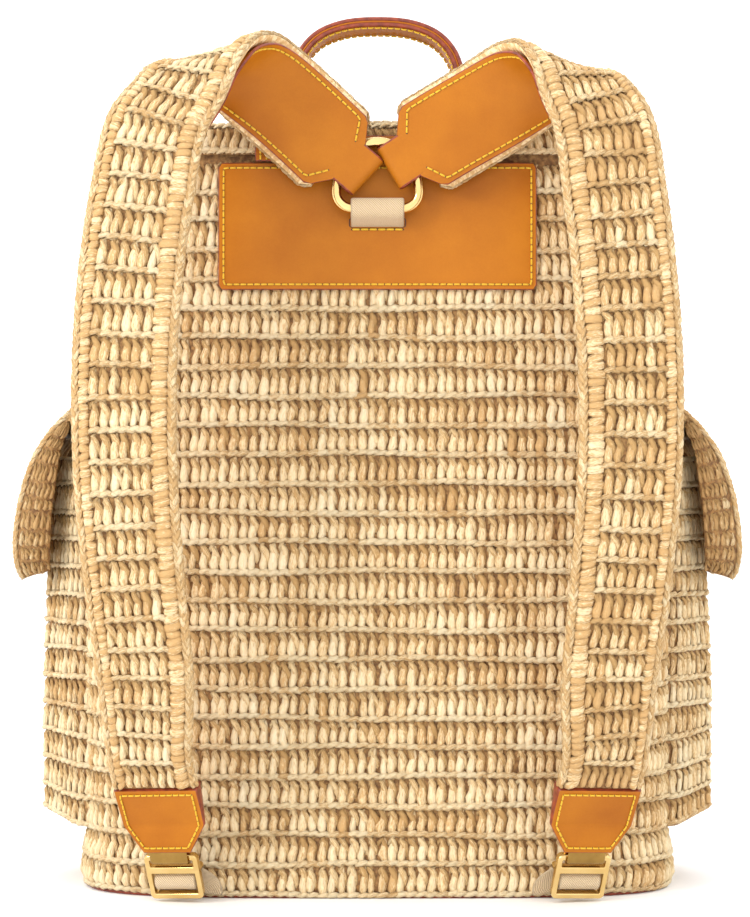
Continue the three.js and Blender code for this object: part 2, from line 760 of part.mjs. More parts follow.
// Adjusting webbing: from the base seam, round the rear bar and through the window
function adjusterGeometry(side) {
  const foot = fasteningFrame(side);
  const turn = rearBar.size * 0.7 + webbingThickness / 2 + clearance;
  const bar = buckleDepth / 2 + webbingThickness / 2 + 0.5;
  const anchorX = buckleReach - adjusterWidth / 2;
  const anchor = (z, lift) => {
    const [inner, outer] = [-0.5, 0.5].map((share) => {
      const x = anchorX + share * adjusterWidth;
      return point(side * x, -faceDepth(x, z, webbingThickness / 2 + lift), z);
    });
    const across = inner.clone().sub(outer).normalize();
    return { centre: inner.clone().lerp(outer, 0.5), across, along: point(0, 0, 1) };
  };
  const local = [[buckleBars.window * 0.7, -rearBar.depth - turn - 0.6]];
  for (let degrees = 180; degrees >= 0; degrees -= 45) {
    const angle = radians(degrees);
    local.push([rearBar.height + turn * Math.sin(angle), -rearBar.depth + turn * Math.cos(angle)]);
  }
  const window = buckleBars.window - buckleBars.bottom;
  local.push(
    [buckleBars.window - window * 0.08, -bar],
    [buckleBars.window - window * 0.3, -1],
    [buckleBars.window - window * 0.5, 0.6],
    [buckleBars.bottom + window * 0.28, -1],
    [buckleBars.bottom + window * 0.02, -bar],
    [buckleBars.bottom * 0.3, -bar],
  );
  const rows = [
    anchor(bodySections[0].height * bodyHeight + 0.6, clearance * 2),
    anchor(bodySections[1].height * bodyHeight - 2, clearance * 4),
    ...local.map(([v, depth]) => ({ centre: foot.place(v, depth), across: foot.across })),
  ].map((row) => ({ ...row, width: adjusterWidth, thickness: webbingThickness }));
  rows[2].along = rows[3].centre.clone().sub(rows[2].centre).normalize();
  return ribbon(rows, side, flatSection);
}

// Plan section of a pocket: a trapezoid with rounded outer corners, open toward the body
function pocketRing(side, reach, inset, z, rise) {
  const root = bodyWidth / 2 - wovenWall * 3;
  const tip = bodyWidth / 2 + reach - inset;
  const base = pocketLength / 2 - inset * 1.2;
  const end = pocketTip / 2 - inset * 0.4;
  const outline = [[root, -base], [bodyWidth / 2 - 5, -base]];
  for (const sign of [-1, 1]) {
    for (let k = 0; k <= 3; k += 1) {
      const share = sign < 0 ? k / 3 : 1 - k / 3;
      const slide = (share - 0.5) * pocketCorner;
      const bulge = (pocketCorner / 3) * (1 - (2 * share - 1) ** 2) * 0.5;
      const x = tip - Math.max(-slide, 0) * 0.7 + bulge * 0.3 - pocketCorner * 0.1;
      outline.push([x, sign * (end - slide)]);
    }
  }
  outline.push([bodyWidth / 2 - 5, base], [root, base]);
  return outline.map(([x, y]) => {
    const outward = THREE.MathUtils.clamp((x - bodyWidth / 2) / pocketReach, 0, 1);
    return point(side * x, y + pocketForward, z + rise * outward);
  });
}

function pocketGeometry(side) {
  const height = bodyHeight - pocketBelowRim - pocketBottom;
  const outer = loft(pocketSections.map((row, i) => pocketRing(
    side,
    row.reach * pocketReach,
    0,
    pocketBottom + row.height * height,
    i === 0 ? pocketRise : 0,
  )));
  const hollow = loft(pocketSections.map((row, i) => {
    const end = i === 0 || i === pocketSections.length - 1;
    const z = pocketBottom + row.height * height + (end ? wovenWall : 0);
    return pocketRing(side, row.reach * pocketReach, wovenWall, z, i === 0 ? pocketRise : 0);
  }));
  return clearOfBody(geometryOf(solidOf(outer).subtract(solidOf(hollow))));
}

// Pocket flap: sewn to the body's side, arched out over the pocket's mouth
function pocketFlapGeometry(side) {
  const pocketFlapTop = bodyHeight - pocketFlapBelowRim;
  const columns = 6;
  const rows = pocketFlapSections.map((row, i) => {
    const before = pocketFlapSections[Math.max(i - 1, 0)];
    const after = pocketFlapSections[Math.min(i + 1, pocketFlapSections.length - 1)];
    const run = (after.reach - before.reach) * pocketFlapReach;
    const fall = (after.drop - before.drop) * pocketFlapDrop;
    const length = Math.hypot(run, fall);
    return { ...row, outX: fall / length, outZ: run / length };
  });
  return clearOfBody(loft(rows.map((row) => {
    const z = pocketFlapTop - row.drop * pocketFlapDrop;
    const seam = Math.max(z, pocketFlapTop - pocketFlapDrop * 0.3);
    const line = (depth) => Array.from({ length: columns + 1 }, (_, k) => {
      const y = lerp(-0.5, 0.5, k / columns) * pocketFlapLength * row.length + pocketForward;
      const x = sideReach(y, seam, clearance) + row.reach * pocketFlapReach;
      return point(side * (x + row.outX * depth), y, z + row.outZ * depth);
    });
    return [...line(pocketFlapThickness), ...line(0).reverse()];
  })));
}

// Assembly
const backpack = new THREE.Group();
function add(name, geometry, finish) {
  const mesh = new THREE.Mesh(geometry, finishes[finish]);
  mesh.name = name;
  backpack.add(mesh);
}

add('body', bodyGeometry(), 'straw');
add('base_leather', baseGeometry(), 'leather');
add('main_flap', flapGeometry(), 'straw');
add('closing_tab', closingTabGeometry(), 'leather');
add('back_patch', patchGeometry(), 'leather');
add('upper_panel', upperPanelGeometry(), 'leather');
add('d_ring', ringGeometry(), 'gold');
add('ring_keeper', keeperGeometry(), 'webbing');
add('carry_handle', handleGeometry(), 'leather');
for (const strap of strapSides) {
  const { name, side } = strap;
  add(`strap_${name}`, strapGeometry(strap), 'straw');
  add(`strap_lining_${name}`, liningGeometry(strap), 'leather');
  add(`end_tab_${name}`, endTabGeometry(side), 'leather');
  add(`buckle_${name}`, buckleGeometry(side), 'gold');
  add(`adjuster_${name}`, adjusterGeometry(side), 'webbing');
  add(`pocket_${name}`, pocketGeometry(side), 'straw');
  add(`pocket_flap_${name}`, pocketFlapGeometry(side), 'straw');
}

// Origin under the middle of the whole outline, on the floor
const outline = new THREE.Box3().setFromObject(backpack);
const middle = outline.getCenter(point(0, 0, 0));
backpack.position.set(-middle.x, -middle.y, -outline.min.z);

export default backpack;
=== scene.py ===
"""Crocheted straw backpack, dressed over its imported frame.

Sizes are in millimetres, with the middle of the tub at y = 0, and become metres in the
frame's own place when a mesh is made. Straps face -Y, the front of the bag faces +Y.
"""

from __future__ import annotations

import logging
import math
from dataclasses import dataclass
from enum import Enum
from typing import Callable, Iterable, Sequence

import bpy
import numpy as np
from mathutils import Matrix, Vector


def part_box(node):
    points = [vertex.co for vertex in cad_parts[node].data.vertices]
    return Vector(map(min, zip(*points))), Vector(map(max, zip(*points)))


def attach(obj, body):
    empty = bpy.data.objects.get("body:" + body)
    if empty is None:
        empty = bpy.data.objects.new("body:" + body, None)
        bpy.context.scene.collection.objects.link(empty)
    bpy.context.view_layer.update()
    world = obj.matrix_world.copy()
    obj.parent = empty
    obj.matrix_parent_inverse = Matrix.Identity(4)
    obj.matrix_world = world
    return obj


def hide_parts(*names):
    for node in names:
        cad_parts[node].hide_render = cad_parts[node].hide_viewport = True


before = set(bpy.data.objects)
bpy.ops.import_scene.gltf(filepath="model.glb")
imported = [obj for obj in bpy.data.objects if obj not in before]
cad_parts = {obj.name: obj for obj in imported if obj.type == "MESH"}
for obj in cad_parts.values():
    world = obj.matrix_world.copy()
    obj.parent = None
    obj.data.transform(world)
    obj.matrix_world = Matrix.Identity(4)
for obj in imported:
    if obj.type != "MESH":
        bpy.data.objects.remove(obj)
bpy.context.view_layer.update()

Array = np.ndarray
Socket = bpy.types.NodeSocket
Finish = bpy.types.Material
Piece = bpy.types.Object
Rgb = tuple[float, float, float]
LOG = logging.getLogger("backpack")
METRE = 0.001


class Side(Enum):
    """The two sides of the bag, with the sign of X on each."""

    LEFT = -1
    RIGHT = 1

    @property
    def label(self) -> str:
        """Name used at the end of a piece's name."""
        return self.name.lower()


class Detail(Enum):
    """Rings and sides of a stitch's leg, its wrap and its small strands."""

    NEAR = ((6, 6), (6, 5), (4, 4))
    PLAIN = ((5, 4), (4, 4), (4, 4))


class Coat(Enum):
    """Material places on a leather piece."""

    FACE = 0
    EDGE = 1


def unit(v: Array) -> Array:
    """Vectors of length one."""
    return v / np.maximum(np.linalg.norm(v, axis=-1, keepdims=True), 1e-9)


def mix(a: float, b: float, t: Array | float) -> Array | float:
    """Value between a and b."""
    return a + (b - a) * t


def arc_lengths(line: Array) -> Array:
    """Distance along a polyline at each of its points."""
    return np.concatenate([[0.0], np.cumsum(np.linalg.norm(np.diff(line, axis=0), axis=1))])


def at_lengths(at: Array, length: Array, table: Array) -> Array:
    """Rows of a table at distances along it."""
    return np.stack([np.interp(at, length, column) for column in table.T], axis=-1)


def circle(count: int) -> Array:
    """Even angles round a section."""
    return np.arange(count) / count * 2 * np.pi


def swept(path: Array, side: Array, off: Array, wide: Array, deep: Array, sides: int) -> Array:
    """Rings of tubes that follow paths.

    Args:
        path: Middle lines as (tubes, rings, 3).
        side: Direction of the half width at each point.
        off: Direction of the half depth at each point.
        wide: Half widths, with two last axes of one.
        deep: Half depths, with two last axes of one.
        sides: Sides of a ring.

    Returns:
        Points as (tubes, rings, sides, 3).
    """
    angle = circle(sides)[:, None]
    turn = side[..., None, :] * np.cos(angle) * wide
    return path[..., None, :] + turn + off[..., None, :] * np.sin(angle) * deep


def curve_through(points: Array, places: Array) -> Array:
    """Centripetal Catmull-Rom curve, with ends carried straight on.

    Args:
        points: Key points, one to a row.
        places: Places from 0 to 1, even from key to key.

    Returns:
        A point for each place.
    """
    ends = np.vstack([2 * points[0] - points[1], points, 2 * points[-1] - points[-2]])
    count = len(points)
    at = np.clip(places, 0, 1) * (count - 1)
    i = np.minimum(at.astype(int), count - 2)
    w = (at - i)[:, None]
    p0, p1, p2, p3 = (ends[i + k] for k in range(4))
    gap = [
        np.sqrt(np.linalg.norm(b - a, axis=1, keepdims=True))
        for a, b in ((p0, p1), (p1, p2), (p2, p3))
    ]
    d1 = np.where(gap[1] < 1e-4, 1.0, gap[1])
    d0 = np.where(gap[0] < 1e-4, d1, gap[0])
    d2 = np.where(gap[2] < 1e-4, d1, gap[2])
    t1 = ((p1 - p0) / d0 - (p2 - p0) / (d0 + d1) + (p2 - p1) / d1) * d1
    t2 = ((p2 - p1) / d1 - (p3 - p1) / (d1 + d2) + (p3 - p2) / d2) * d1
    c2 = -3 * p1 + 3 * p2 - 2 * t1 - t2
    c3 = 2 * p1 - 2 * p2 + t1 + t2
    return p1 + t1 * w + c2 * w**2 + c3 * w**3


def smooth_rows(rows: Array, samples: int) -> Array:
    """Even rows of a smooth sheet skinned through a few rows.

    Args:
        rows: Points as (rows, columns, 3).
        samples: Rows wanted, even in length along the middle column.

    Returns:
        Points as (samples, columns, 3).
    """
    middle = rows[:, rows.shape[1] // 2]
    steps = np.linalg.norm(np.diff(middle, axis=0), axis=1)
    knots = np.concatenate([[0.0], np.cumsum(np.sqrt(np.maximum(steps, 1e-6)))])
    h = np.diff(knots)[:, None, None]
    slope = np.diff(rows, axis=0) / h
    pull = np.empty_like(rows)
    pull[1:-1] = (slope[:-1] * h[1:] + slope[1:] * h[:-1]) / (h[1:] + h[:-1])
    pull[0], pull[-1] = slope[0], slope[-1]

    def evaluate(at: Array) -> Array:
        """Rows of the sheet at knot values."""
        i = np.clip(np.searchsorted(knots, at, side="right") - 1, 0, len(knots) - 2)
        span = h[i]
        t = (at - knots[i])[:, None, None] / span
        a, b = rows[i], rows[i + 1]
        m, n = pull[i] * span, pull[i + 1] * span
        curve = (2 * t**3 - 3 * t**2 + 1) * a + (t**3 - 2 * t**2 + t) * m
        return curve + (-2 * t**3 + 3 * t**2) * b + (t**3 - t**2) * n

    fine = np.linspace(0, knots[-1], samples * 3)
    length = arc_lengths(evaluate(fine)[:, rows.shape[1] // 2])
    return evaluate(np.interp(np.linspace(0, length[-1], samples), length, fine))


class Sheet:
    """A smooth sheet on an even grid, measured in mm along its columns and rows."""

    def __init__(self, points: Array, away_from: Array, margin: float = 0.0) -> None:
        """Measures the grid and turns it so that its faces look outward.

        Args:
            points: Grid as (rows, columns, 3).
            away_from: A point behind the sheet.
            margin: Columns in mm at both ends that only carry what spills over.
        """
        if self.inward(points, away_from) < 0:
            points = points[:, ::-1]
        self.points = points
        rows, columns = points.shape[:2]
        wide = arc_lengths(points[rows // 2])[-1]
        tall = arc_lengths(points[:, columns // 2])[-1]
        self.width = wide - 2 * margin
        self.height = tall
        self.u_range = (-margin, wide - margin)
        self.v_range = (0.0, tall)
        self.normals = unit(np.cross(np.gradient(points, axis=1), np.gradient(points, axis=0)))

    @staticmethod
    def inward(points: Array, away_from: Array) -> float:
        """Summed outward lean of the grid's normals; negative where it looks inward."""
        normals = np.cross(np.gradient(points, axis=1), np.gradient(points, axis=0))
        return float(np.sum(unit(normals) * unit(points - away_from)))

    def at(self, u: Array, v: Array, lift: Array | float = 0.0) -> Array:
        """Points of the sheet.

        Args:
            u: Places across in mm.
            v: Places up in mm.
            lift: Distance off the sheet in mm.

        Returns:
            Points with a last axis of 3.
        """
        rows, columns = self.points.shape[:2]
        a = (u - self.u_range[0]) / (self.u_range[1] - self.u_range[0])
        b = (v - self.v_range[0]) / (self.v_range[1] - self.v_range[0])
        a = np.clip(a, 0, 1) * (columns - 1)
        b = np.clip(b, 0, 1) * (rows - 1)
        i = np.minimum(a.astype(int), columns - 2)
        j = np.minimum(b.astype(int), rows - 2)
        s = (a - i)[..., None]
        t = (b - j)[..., None]

        def between(grid: Array) -> Array:
            """Grid values at the places."""
            low = grid[j, i] * (1 - s) + grid[j, i + 1] * s
            high = grid[j + 1, i] * (1 - s) + grid[j + 1, i + 1] * s
            return low * (1 - t) + high * t

        return between(self.points) + between(self.normals) * np.asarray(lift)[..., None]


@dataclass
class Strand:
    """One strand of a stitch: a bent, flattened, tapered tube, in mm from the stitch's foot."""

    across: Sequence[float]
    up: Sequence[float]
    lift: Sequence[float]
    half_width: Sequence[float]
    half_depth: Sequence[float]
    grade: int = 2

    def table(self, rings: int) -> Array:
        """Columns across, up, lift, half width and half depth at even places."""
        keys = np.array([self.across, self.up, self.lift, self.half_width, self.half_depth]).T
        return curve_through(keys.astype(float), np.linspace(0, 1, rings))


class Skein:
    """Strands and sheets gathered as the faces of one mesh."""

    def __init__(self, name: str) -> None:
        """Starts an empty skein."""
        self.name = name
        self.points: list[Array] = []
        self.faces: list[Array] = []
        self.marks: list[Array] = []
        self.tones: list[Array] = []
        self.coats: list[Array] = []
        self.count = 0

    def add(self, points: Array, faces: Array, marks: Array, tone: Array, coat: Array) -> None:
        """Adds faces of four corners.

        Args:
            points: Corner points as (n, 3).
            faces: Indices into points as (m, 4).
            marks: Place of each face corner around and along its strand, as (m, 4, 2).
            tone: Shade of each point from 0 to 1.
            coat: Material place of each face.
        """
        self.points.append(points)
        self.faces.append(faces + self.count)
        self.marks.append(marks)
        self.tones.append(np.broadcast_to(tone, len(points)))
        self.coats.append(np.broadcast_to(coat, len(faces)))
        self.count += len(points)

    def tubes(
        self,
        rings: Array,
        tone: Array | float = 0.5,
        coat: Array | int = 0,
        open_section: bool = False,
        loop: bool = False,
        girth: float = 1.0,
    ) -> None:
        """Adds tubes of the same make.

        Args:
            rings: Points as (tubes, rings, sides, 3).
            tone: Shade of each tube.
            coat: Material place of each side, or of all.
            open_section: Leaves the last side out, for a strip.
            loop: Joins the last ring to the first.
            girth: Length round a section, for marks in mm.
        """
        tubes, steps, sides, _ = rings.shape
        base = np.arange(tubes * steps * sides).reshape(tubes, steps, sides)
        ahead = np.roll(base, -1, axis=2)
        if loop:
            base = np.concatenate([base, base[:, :1]], axis=1)
            ahead = np.concatenate([ahead, ahead[:, :1]], axis=1)
        faces = np.stack([base[:, :-1], ahead[:, :-1], ahead[:, 1:], base[:, 1:]], axis=-1)
        middle = rings.mean(axis=2)
        if loop:
            middle = np.concatenate([middle, middle[:, :1]], axis=1)
        steps_long = np.linalg.norm(np.diff(middle, axis=1), axis=-1)
        along = np.concatenate([np.zeros((tubes, 1)), np.cumsum(steps_long, axis=1)], axis=1)
        along = along + (np.arange(tubes) * 7.31 % 97)[:, None]
        around = np.arange(sides) / sides * girth
        shape = faces.shape[:3]
        near = np.broadcast_to(along[:, :-1, None], shape)
        far = np.broadcast_to(along[:, 1:, None], shape)
        left = np.broadcast_to(around, shape)
        right = left + girth / sides
        marks = np.stack(
            [
                np.stack([left, near], -1),
                np.stack([right, near], -1),
                np.stack([right, far], -1),
                np.stack([left, far], -1),
            ],
            axis=3,
        )
        coats = np.broadcast_to(np.asarray(coat), shape)
        if open_section:
            faces, marks, coats = faces[:, :, :-1], marks[:, :, :-1], coats[:, :, :-1]
        tones = np.broadcast_to(np.asarray(tone, float).reshape(-1, 1, 1), (tubes, steps, sides))
        self.add(
            rings.reshape(-1, 3),
            faces.reshape(-1, 4),
            marks.reshape(-1, 4, 2),
            tones.reshape(-1),
            coats.reshape(-1),
        )

    def loft(
        self,
        rings: Array,
        tone: float = 0.5,
        coat: Array | int = 0,
        end_coat: int = 0,
        girth: float = 1.0,
    ) -> None:
        """Adds one solid skinned through closed rings, with its ends filled.

        Args:
            rings: Points as (rings, sides, 3), with an even number of sides.
            tone: Shade of the solid.
            coat: Material place of each side, or of all.
            end_coat: Material place of the two ends.
            girth: Length round a section, for marks in mm.
        """
        self.tubes(rings[None], tone, coat, girth=girth)
        sides = rings.shape[1]
        i = np.arange(sides // 2 - 1)
        far = sides - 1 - i
        cap = np.stack([i + 1, i, far, far - 1], axis=1)
        for ring, faces in ((rings[0], cap), (rings[-1], cap[:, ::-1])):
            marks = np.stack([ring[faces][..., 0], ring[faces][..., 2]], axis=-1)
            self.add(ring, faces, marks / 10, np.float64(tone), np.int64(end_coat))

    def piece(
        self, finishes: Sequence[Finish], slot: str, stands_for: Iterable[str] = ()
    ) -> Piece:
        """Makes the mesh, in the frame's place, and lets it ride on the root.

        Args:
            finishes: Materials in the order of Coat.
            slot: Not used.
            stands_for: CAD nodes that the piece replaces.

        Returns:
            The piece.
        """
        points = (np.concatenate(self.points) + [0, TUB_SHIFT, 0]) * METRE
        faces = np.concatenate(self.faces).astype(np.int32)
        mesh = bpy.data.meshes.new(self.name)
        mesh.vertices.add(len(points))
        mesh.vertices.foreach_set("co", points.astype(np.float32).ravel())
        mesh.loops.add(faces.size)
        mesh.loops.foreach_set("vertex_index", faces.ravel())
        mesh.polygons.add(len(faces))
        mesh.polygons.foreach_set("loop_start", np.arange(0, faces.size, 4, dtype=np.int32))
        mesh.polygons.foreach_set("material_index", np.concatenate(self.coats).astype(np.int32))
        mesh.polygons.foreach_set("use_smooth", np.ones(len(faces), dtype=bool))
        mesh.update(calc_edges=True)
        marks = mesh.uv_layers.new(name="strand")
        marks.data.foreach_set("uv", np.concatenate(self.marks).astype(np.float32).ravel())
        tone = mesh.attributes.new("tone", "FLOAT", "POINT")
        tone.data.foreach_set("value", np.concatenate(self.tones).astype(np.float32))
        for finish in finishes:
            mesh.materials.append(finish)
        made = bpy.data.objects.new(self.name, mesh)
        bpy.context.scene.collection.objects.link(made)
        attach(made, "root")
        nodes = list(stands_for)
        if nodes:
            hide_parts(*nodes)
        LOG.info("%s: %d triangles", self.name, 2 * len(faces))
        return made


TUB_SHIFT = sum(corner.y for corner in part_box("body")) / 2 / METRE


class Shader:
    """A material's nodes, added and joined by short calls."""

    def __init__(self, name: str) -> None:
        """Starts a material with its surface shader."""
        self.material = bpy.data.materials.new(name)
        self.material.use_nodes = True
        self.tree = self.material.node_tree
        self.surface = self.tree.nodes["Principled BSDF"]

    def node(self, kind: str, **settings: object) -> bpy.types.Node:
        """Adds a node and sets its own properties and, by name, its inputs."""
        made = self.tree.nodes.new(kind)
        for key, value in settings.items():
            if hasattr(made, key):
                setattr(made, key, value)
            else:
                made.inputs[key.replace("_", " ")].default_value = value
        return made

    def join(self, source: Socket, target: Socket) -> None:
        """Joins two sockets."""
        self.tree.links.new(source, target)

    def noise(self, scale: float, detail: float = 4.0, where: Socket | None = None) -> Socket:
        """Noise from 0 to 1, in the object's own coordinates unless told where."""
        made = self.node("ShaderNodeTexNoise", Scale=scale, Detail=detail)
        if where is None:
            where = self.node("ShaderNodeTexCoord").outputs["Object"]
        self.join(where, made.inputs["Vector"])
        return made.outputs["Fac"]

    def ramp(self, source: Socket, stops: Sequence[tuple[float, tuple[float, ...]]]) -> Socket:
        """Colour from a value, by stops of place and colour."""
        made = self.node("ShaderNodeValToRGB")
        ramp = made.color_ramp
        while len(ramp.elements) < len(stops):
            ramp.elements.new(0.5)
        for element, (place, colour) in zip(ramp.elements, stops):
            element.position = place
            element.color = (*colour, 1.0)
        self.join(source, made.inputs["Fac"])
        return made.outputs["Color"]

    def colour(self, value: Socket, *stops: tuple[float, Rgb]) -> None:
        """Gives the surface its colour from a value."""
        self.join(self.ramp(value, stops), self.surface.inputs["Base Color"])

    def relief(
        self, height: Socket, distance: float, strength: float, under: Socket | None = None
    ) -> None:
        """Gives the surface its relief, as bump does."""
        self.join(self.bump(height, distance, strength, under), self.surface.inputs["Normal"])

    def finish(self, **values: float) -> Finish:
        """Sets the surface's own inputs by name and gives the material."""
        for key, value in values.items():
            self.surface.inputs[key.replace("_", " ")].default_value = value
        return self.material

    def sum_of(self, a: Socket, b: Socket, share: float) -> Socket:
        """Value a with a share of value b added."""
        made = self.node("ShaderNodeMath", operation="MULTIPLY_ADD")
        self.join(b, made.inputs[0])
        made.inputs[1].default_value = share
        self.join(a, made.inputs[2])
        return made.outputs[0]

    def bump(
        self, height: Socket, distance: float, strength: float = 1.0, under: Socket | None = None
    ) -> Socket:
        """Relief of a depth in metres, over another relief if one is given."""
        made = self.node("ShaderNodeBump", Strength=strength, Distance=distance)
        self.join(height, made.inputs["Height"])
        if under is not None:
            self.join(under, made.inputs["Normal"])
        return made.outputs["Normal"]

    def strand_place(self, around: float, along: float) -> Socket:
        """Place on a strand, stretched for streaks that run along it."""
        marks = self.node("ShaderNodeUVMap", uv_map="strand")
        stretch = self.node("ShaderNodeMapping")
        stretch.inputs["Scale"].default_value = (around, along, 1.0)
        self.join(marks.outputs["UV"], stretch.inputs["Vector"])
        return stretch.outputs["Vector"]

    def tone(self) -> Socket:
        """Shade that each stitch was given."""
        return self.node("ShaderNodeAttribute", attribute_name="tone").outputs["Fac"]


@dataclass(frozen=True)
class Raffia:
    """Dull split palm fibre: pale straw with tan strands and streaks along each strand."""

    name: str
    pale: Rgb = (0.93, 0.78, 0.52)
    mid: Rgb = (0.87, 0.66, 0.37)
    deep: Rgb = (0.64, 0.39, 0.16)

    def material(self) -> Finish:
        """Makes the material."""
        sh = Shader(self.name)
        streak = sh.noise(1.0, 3.0, sh.strand_place(15.0, 0.16))
        fine = sh.noise(1.0, 2.0, sh.strand_place(34.0, 0.5))
        patch = sh.noise(28.0, 2.0)
        value = sh.sum_of(sh.sum_of(sh.tone(), streak, 1.25), patch, 0.2)
        value = sh.sum_of(value, fine, 1.3)
        halved = sh.node("ShaderNodeMath", operation="MULTIPLY")
        sh.join(value, halved.inputs[0])
        halved.inputs[1].default_value = 0.5
        sh.colour(halved.outputs[0], (0.62, self.pale), (0.86, self.mid), (1.0, self.deep))
        sh.relief(sh.sum_of(streak, fine, 0.5), 0.0016, 0.9)
        return sh.finish(Roughness=0.62, Specular_IOR_Level=0.3)


@dataclass(frozen=True)
class Ground:
    """Painted shade: dark brown fibre behind the stitches, crossed by fine lines, standing for the
    shadow in the gaps between them.
    """

    name: str
    light: Rgb = (0.42, 0.23, 0.08)
    dark: Rgb = (0.15, 0.07, 0.025)

    def material(self) -> Finish:
        """Makes the material."""
        sh = Shader(self.name)
        weave = sh.noise(420.0, 3.0)
        sh.colour(weave, (0.35, self.dark), (0.68, self.light))
        sh.relief(weave, 0.0012, 0.8)
        return sh.finish(Roughness=0.85)


@dataclass(frozen=True)
class Leather:
    """Smooth vegetable tan leather with fine grain and soft uneven colour."""

    name: str
    light: Rgb = (0.49, 0.165, 0.009)
    deep: Rgb = (0.35, 0.10, 0.005)

    def material(self) -> Finish:
        """Makes the material."""
        sh = Shader(self.name)
        cloud = sh.noise(16.0, 5.0)
        pores = sh.node("ShaderNodeTexVoronoi", Scale=1500.0)
        sh.join(sh.node("ShaderNodeTexCoord").outputs["Object"], pores.inputs["Vector"])
        fine = sh.noise(900.0, 3.0)
        sh.colour(sh.sum_of(cloud, fine, 0.12), (0.38, self.deep), (0.72, self.light))
        grain = sh.bump(pores.outputs["Distance"], 0.00006, 0.5)
        sh.relief(sh.noise(120.0, 3.0), 0.0003, 0.25, grain)
        return sh.finish(Roughness=0.4, Specular_IOR_Level=0.2)


@dataclass(frozen=True)
class PaintedEdge:
    """Dark red-brown paint on a cut leather edge."""

    name: str
    light: Rgb = (0.33, 0.055, 0.018)
    deep: Rgb = (0.16, 0.022, 0.010)

    def material(self) -> Finish:
        """Makes the material."""
        sh = Shader(self.name)
        uneven = sh.noise(260.0, 3.0)
        sh.colour(uneven, (0.36, self.deep), (0.7, self.light))
        sh.relief(uneven, 0.0003, 0.4)
        return sh.finish(Roughness=0.34)


@dataclass(frozen=True)
class Thread:
    """Waxed twisted sewing thread."""

    name: str
    light: Rgb = (0.92, 0.62, 0.04)
    deep: Rgb = (0.74, 0.42, 0.02)

    def material(self) -> Finish:
        """Makes the material."""
        sh = Shader(self.name)
        twist = sh.node("ShaderNodeTexWave", Scale=2.4, Distortion=0.6, bands_direction="DIAGONAL")
        sh.join(sh.strand_place(2.0, 1.0), twist.inputs["Vector"])
        sh.colour(twist.outputs["Fac"], (0.15, self.deep), (0.7, self.light))
        sh.relief(twist.outputs["Fac"], 0.0002, 0.5)
        return sh.finish(Roughness=0.5)


@dataclass(frozen=True)
class PaleGold:
    """Polished pale gold plate with faint brushing."""

    name: str
    light: Rgb = (0.83, 0.62, 0.28)
    deep: Rgb = (0.72, 0.50, 0.19)

    def material(self) -> Finish:
        """Makes the material."""
        sh = Shader(self.name)
        sh.colour(sh.noise(60.0, 3.0), (0.35, self.deep), (0.65, self.light))
        sh.relief(sh.noise(700.0, 2.0), 0.00003, 0.35)
        return sh.finish(Metallic=1.0, Roughness=0.16)


@dataclass(frozen=True)
class Webbing:
    """Beige twill tape: fine slanting ribs of pale thread."""

    name: str
    light: Rgb = (0.82, 0.64, 0.41)
    deep: Rgb = (0.46, 0.30, 0.14)

    def material(self) -> Finish:
        """Makes the material."""
        sh = Shader(self.name)
        place = sh.strand_place(1.0, 1.0)
        slant = sh.node("ShaderNodeTexWave", Scale=0.5, bands_direction="DIAGONAL")
        cross = sh.node("ShaderNodeTexWave", Scale=0.5, bands_direction="X")
        for wave in (slant, cross):
            sh.join(place, wave.inputs["Vector"])
        weave = sh.sum_of(slant.outputs["Fac"], cross.outputs["Fac"], 0.35)
        value = sh.sum_of(weave, sh.noise(2.0, 3.0, place), 0.3)
        sh.colour(value, (0.25, self.deep), (0.95, self.light))
        sh.relief(weave, 0.0007, 0.7)
        return sh.finish(Roughness=0.55, Sheen_Weight=0.2)


@dataclass(frozen=True)
class Floor:
    """Plain pale floor with a faint mottle."""

    name: str

    def material(self) -> Finish:
        """Makes the material."""
        sh = Shader(self.name)
        sh.colour(sh.noise(2.0, 2.0), (0.3, (0.90, 0.90, 0.90)), (0.7, (0.94, 0.94, 0.94)))
        return sh.finish(Roughness=0.9)


class Finishes:
    """Every finish of the bag, made once."""

    def __init__(self) -> None:
        """Makes the materials."""
        self.post = Raffia("raffia_posts").material()
        self.wrap = Raffia(
            "raffia_wraps", (0.91, 0.74, 0.46), (0.82, 0.59, 0.30), (0.54, 0.32, 0.12)
        ).material()
        self.chain = Raffia("raffia_chains", (0.94, 0.79, 0.52), (0.88, 0.67, 0.38)).material()
        # Painted shade: the dark ground behind all stitches stands for the shadow in the gaps
        # between them.
        self.ground = Ground("straw_painted_shade").material()
        self.leather = Leather("tan_leather").material()
        self.edge = PaintedEdge("painted_edge").material()
        self.thread = Thread("saffron_thread").material()
        # Painted shade: near-black for the shadow inside the needle holes and the keeper's slot.
        dark, darker = (0.10, 0.035, 0.012), (0.04, 0.012, 0.006)
        self.hole = PaintedEdge("needle_hole_shade", dark, darker).material()
        self.gold = PaleGold("pale_gold").material()
        # Painted shade: a darker copy of the gold for the recessed link, for the shadow it sits in.
        self.shaded_gold = PaleGold("shaded_gold", (0.44, 0.28, 0.08), (0.30, 0.18, 0.05)).material()
        self.tape = Webbing("beige_webbing").material()
        self.floor = Floor("pale_floor").material()


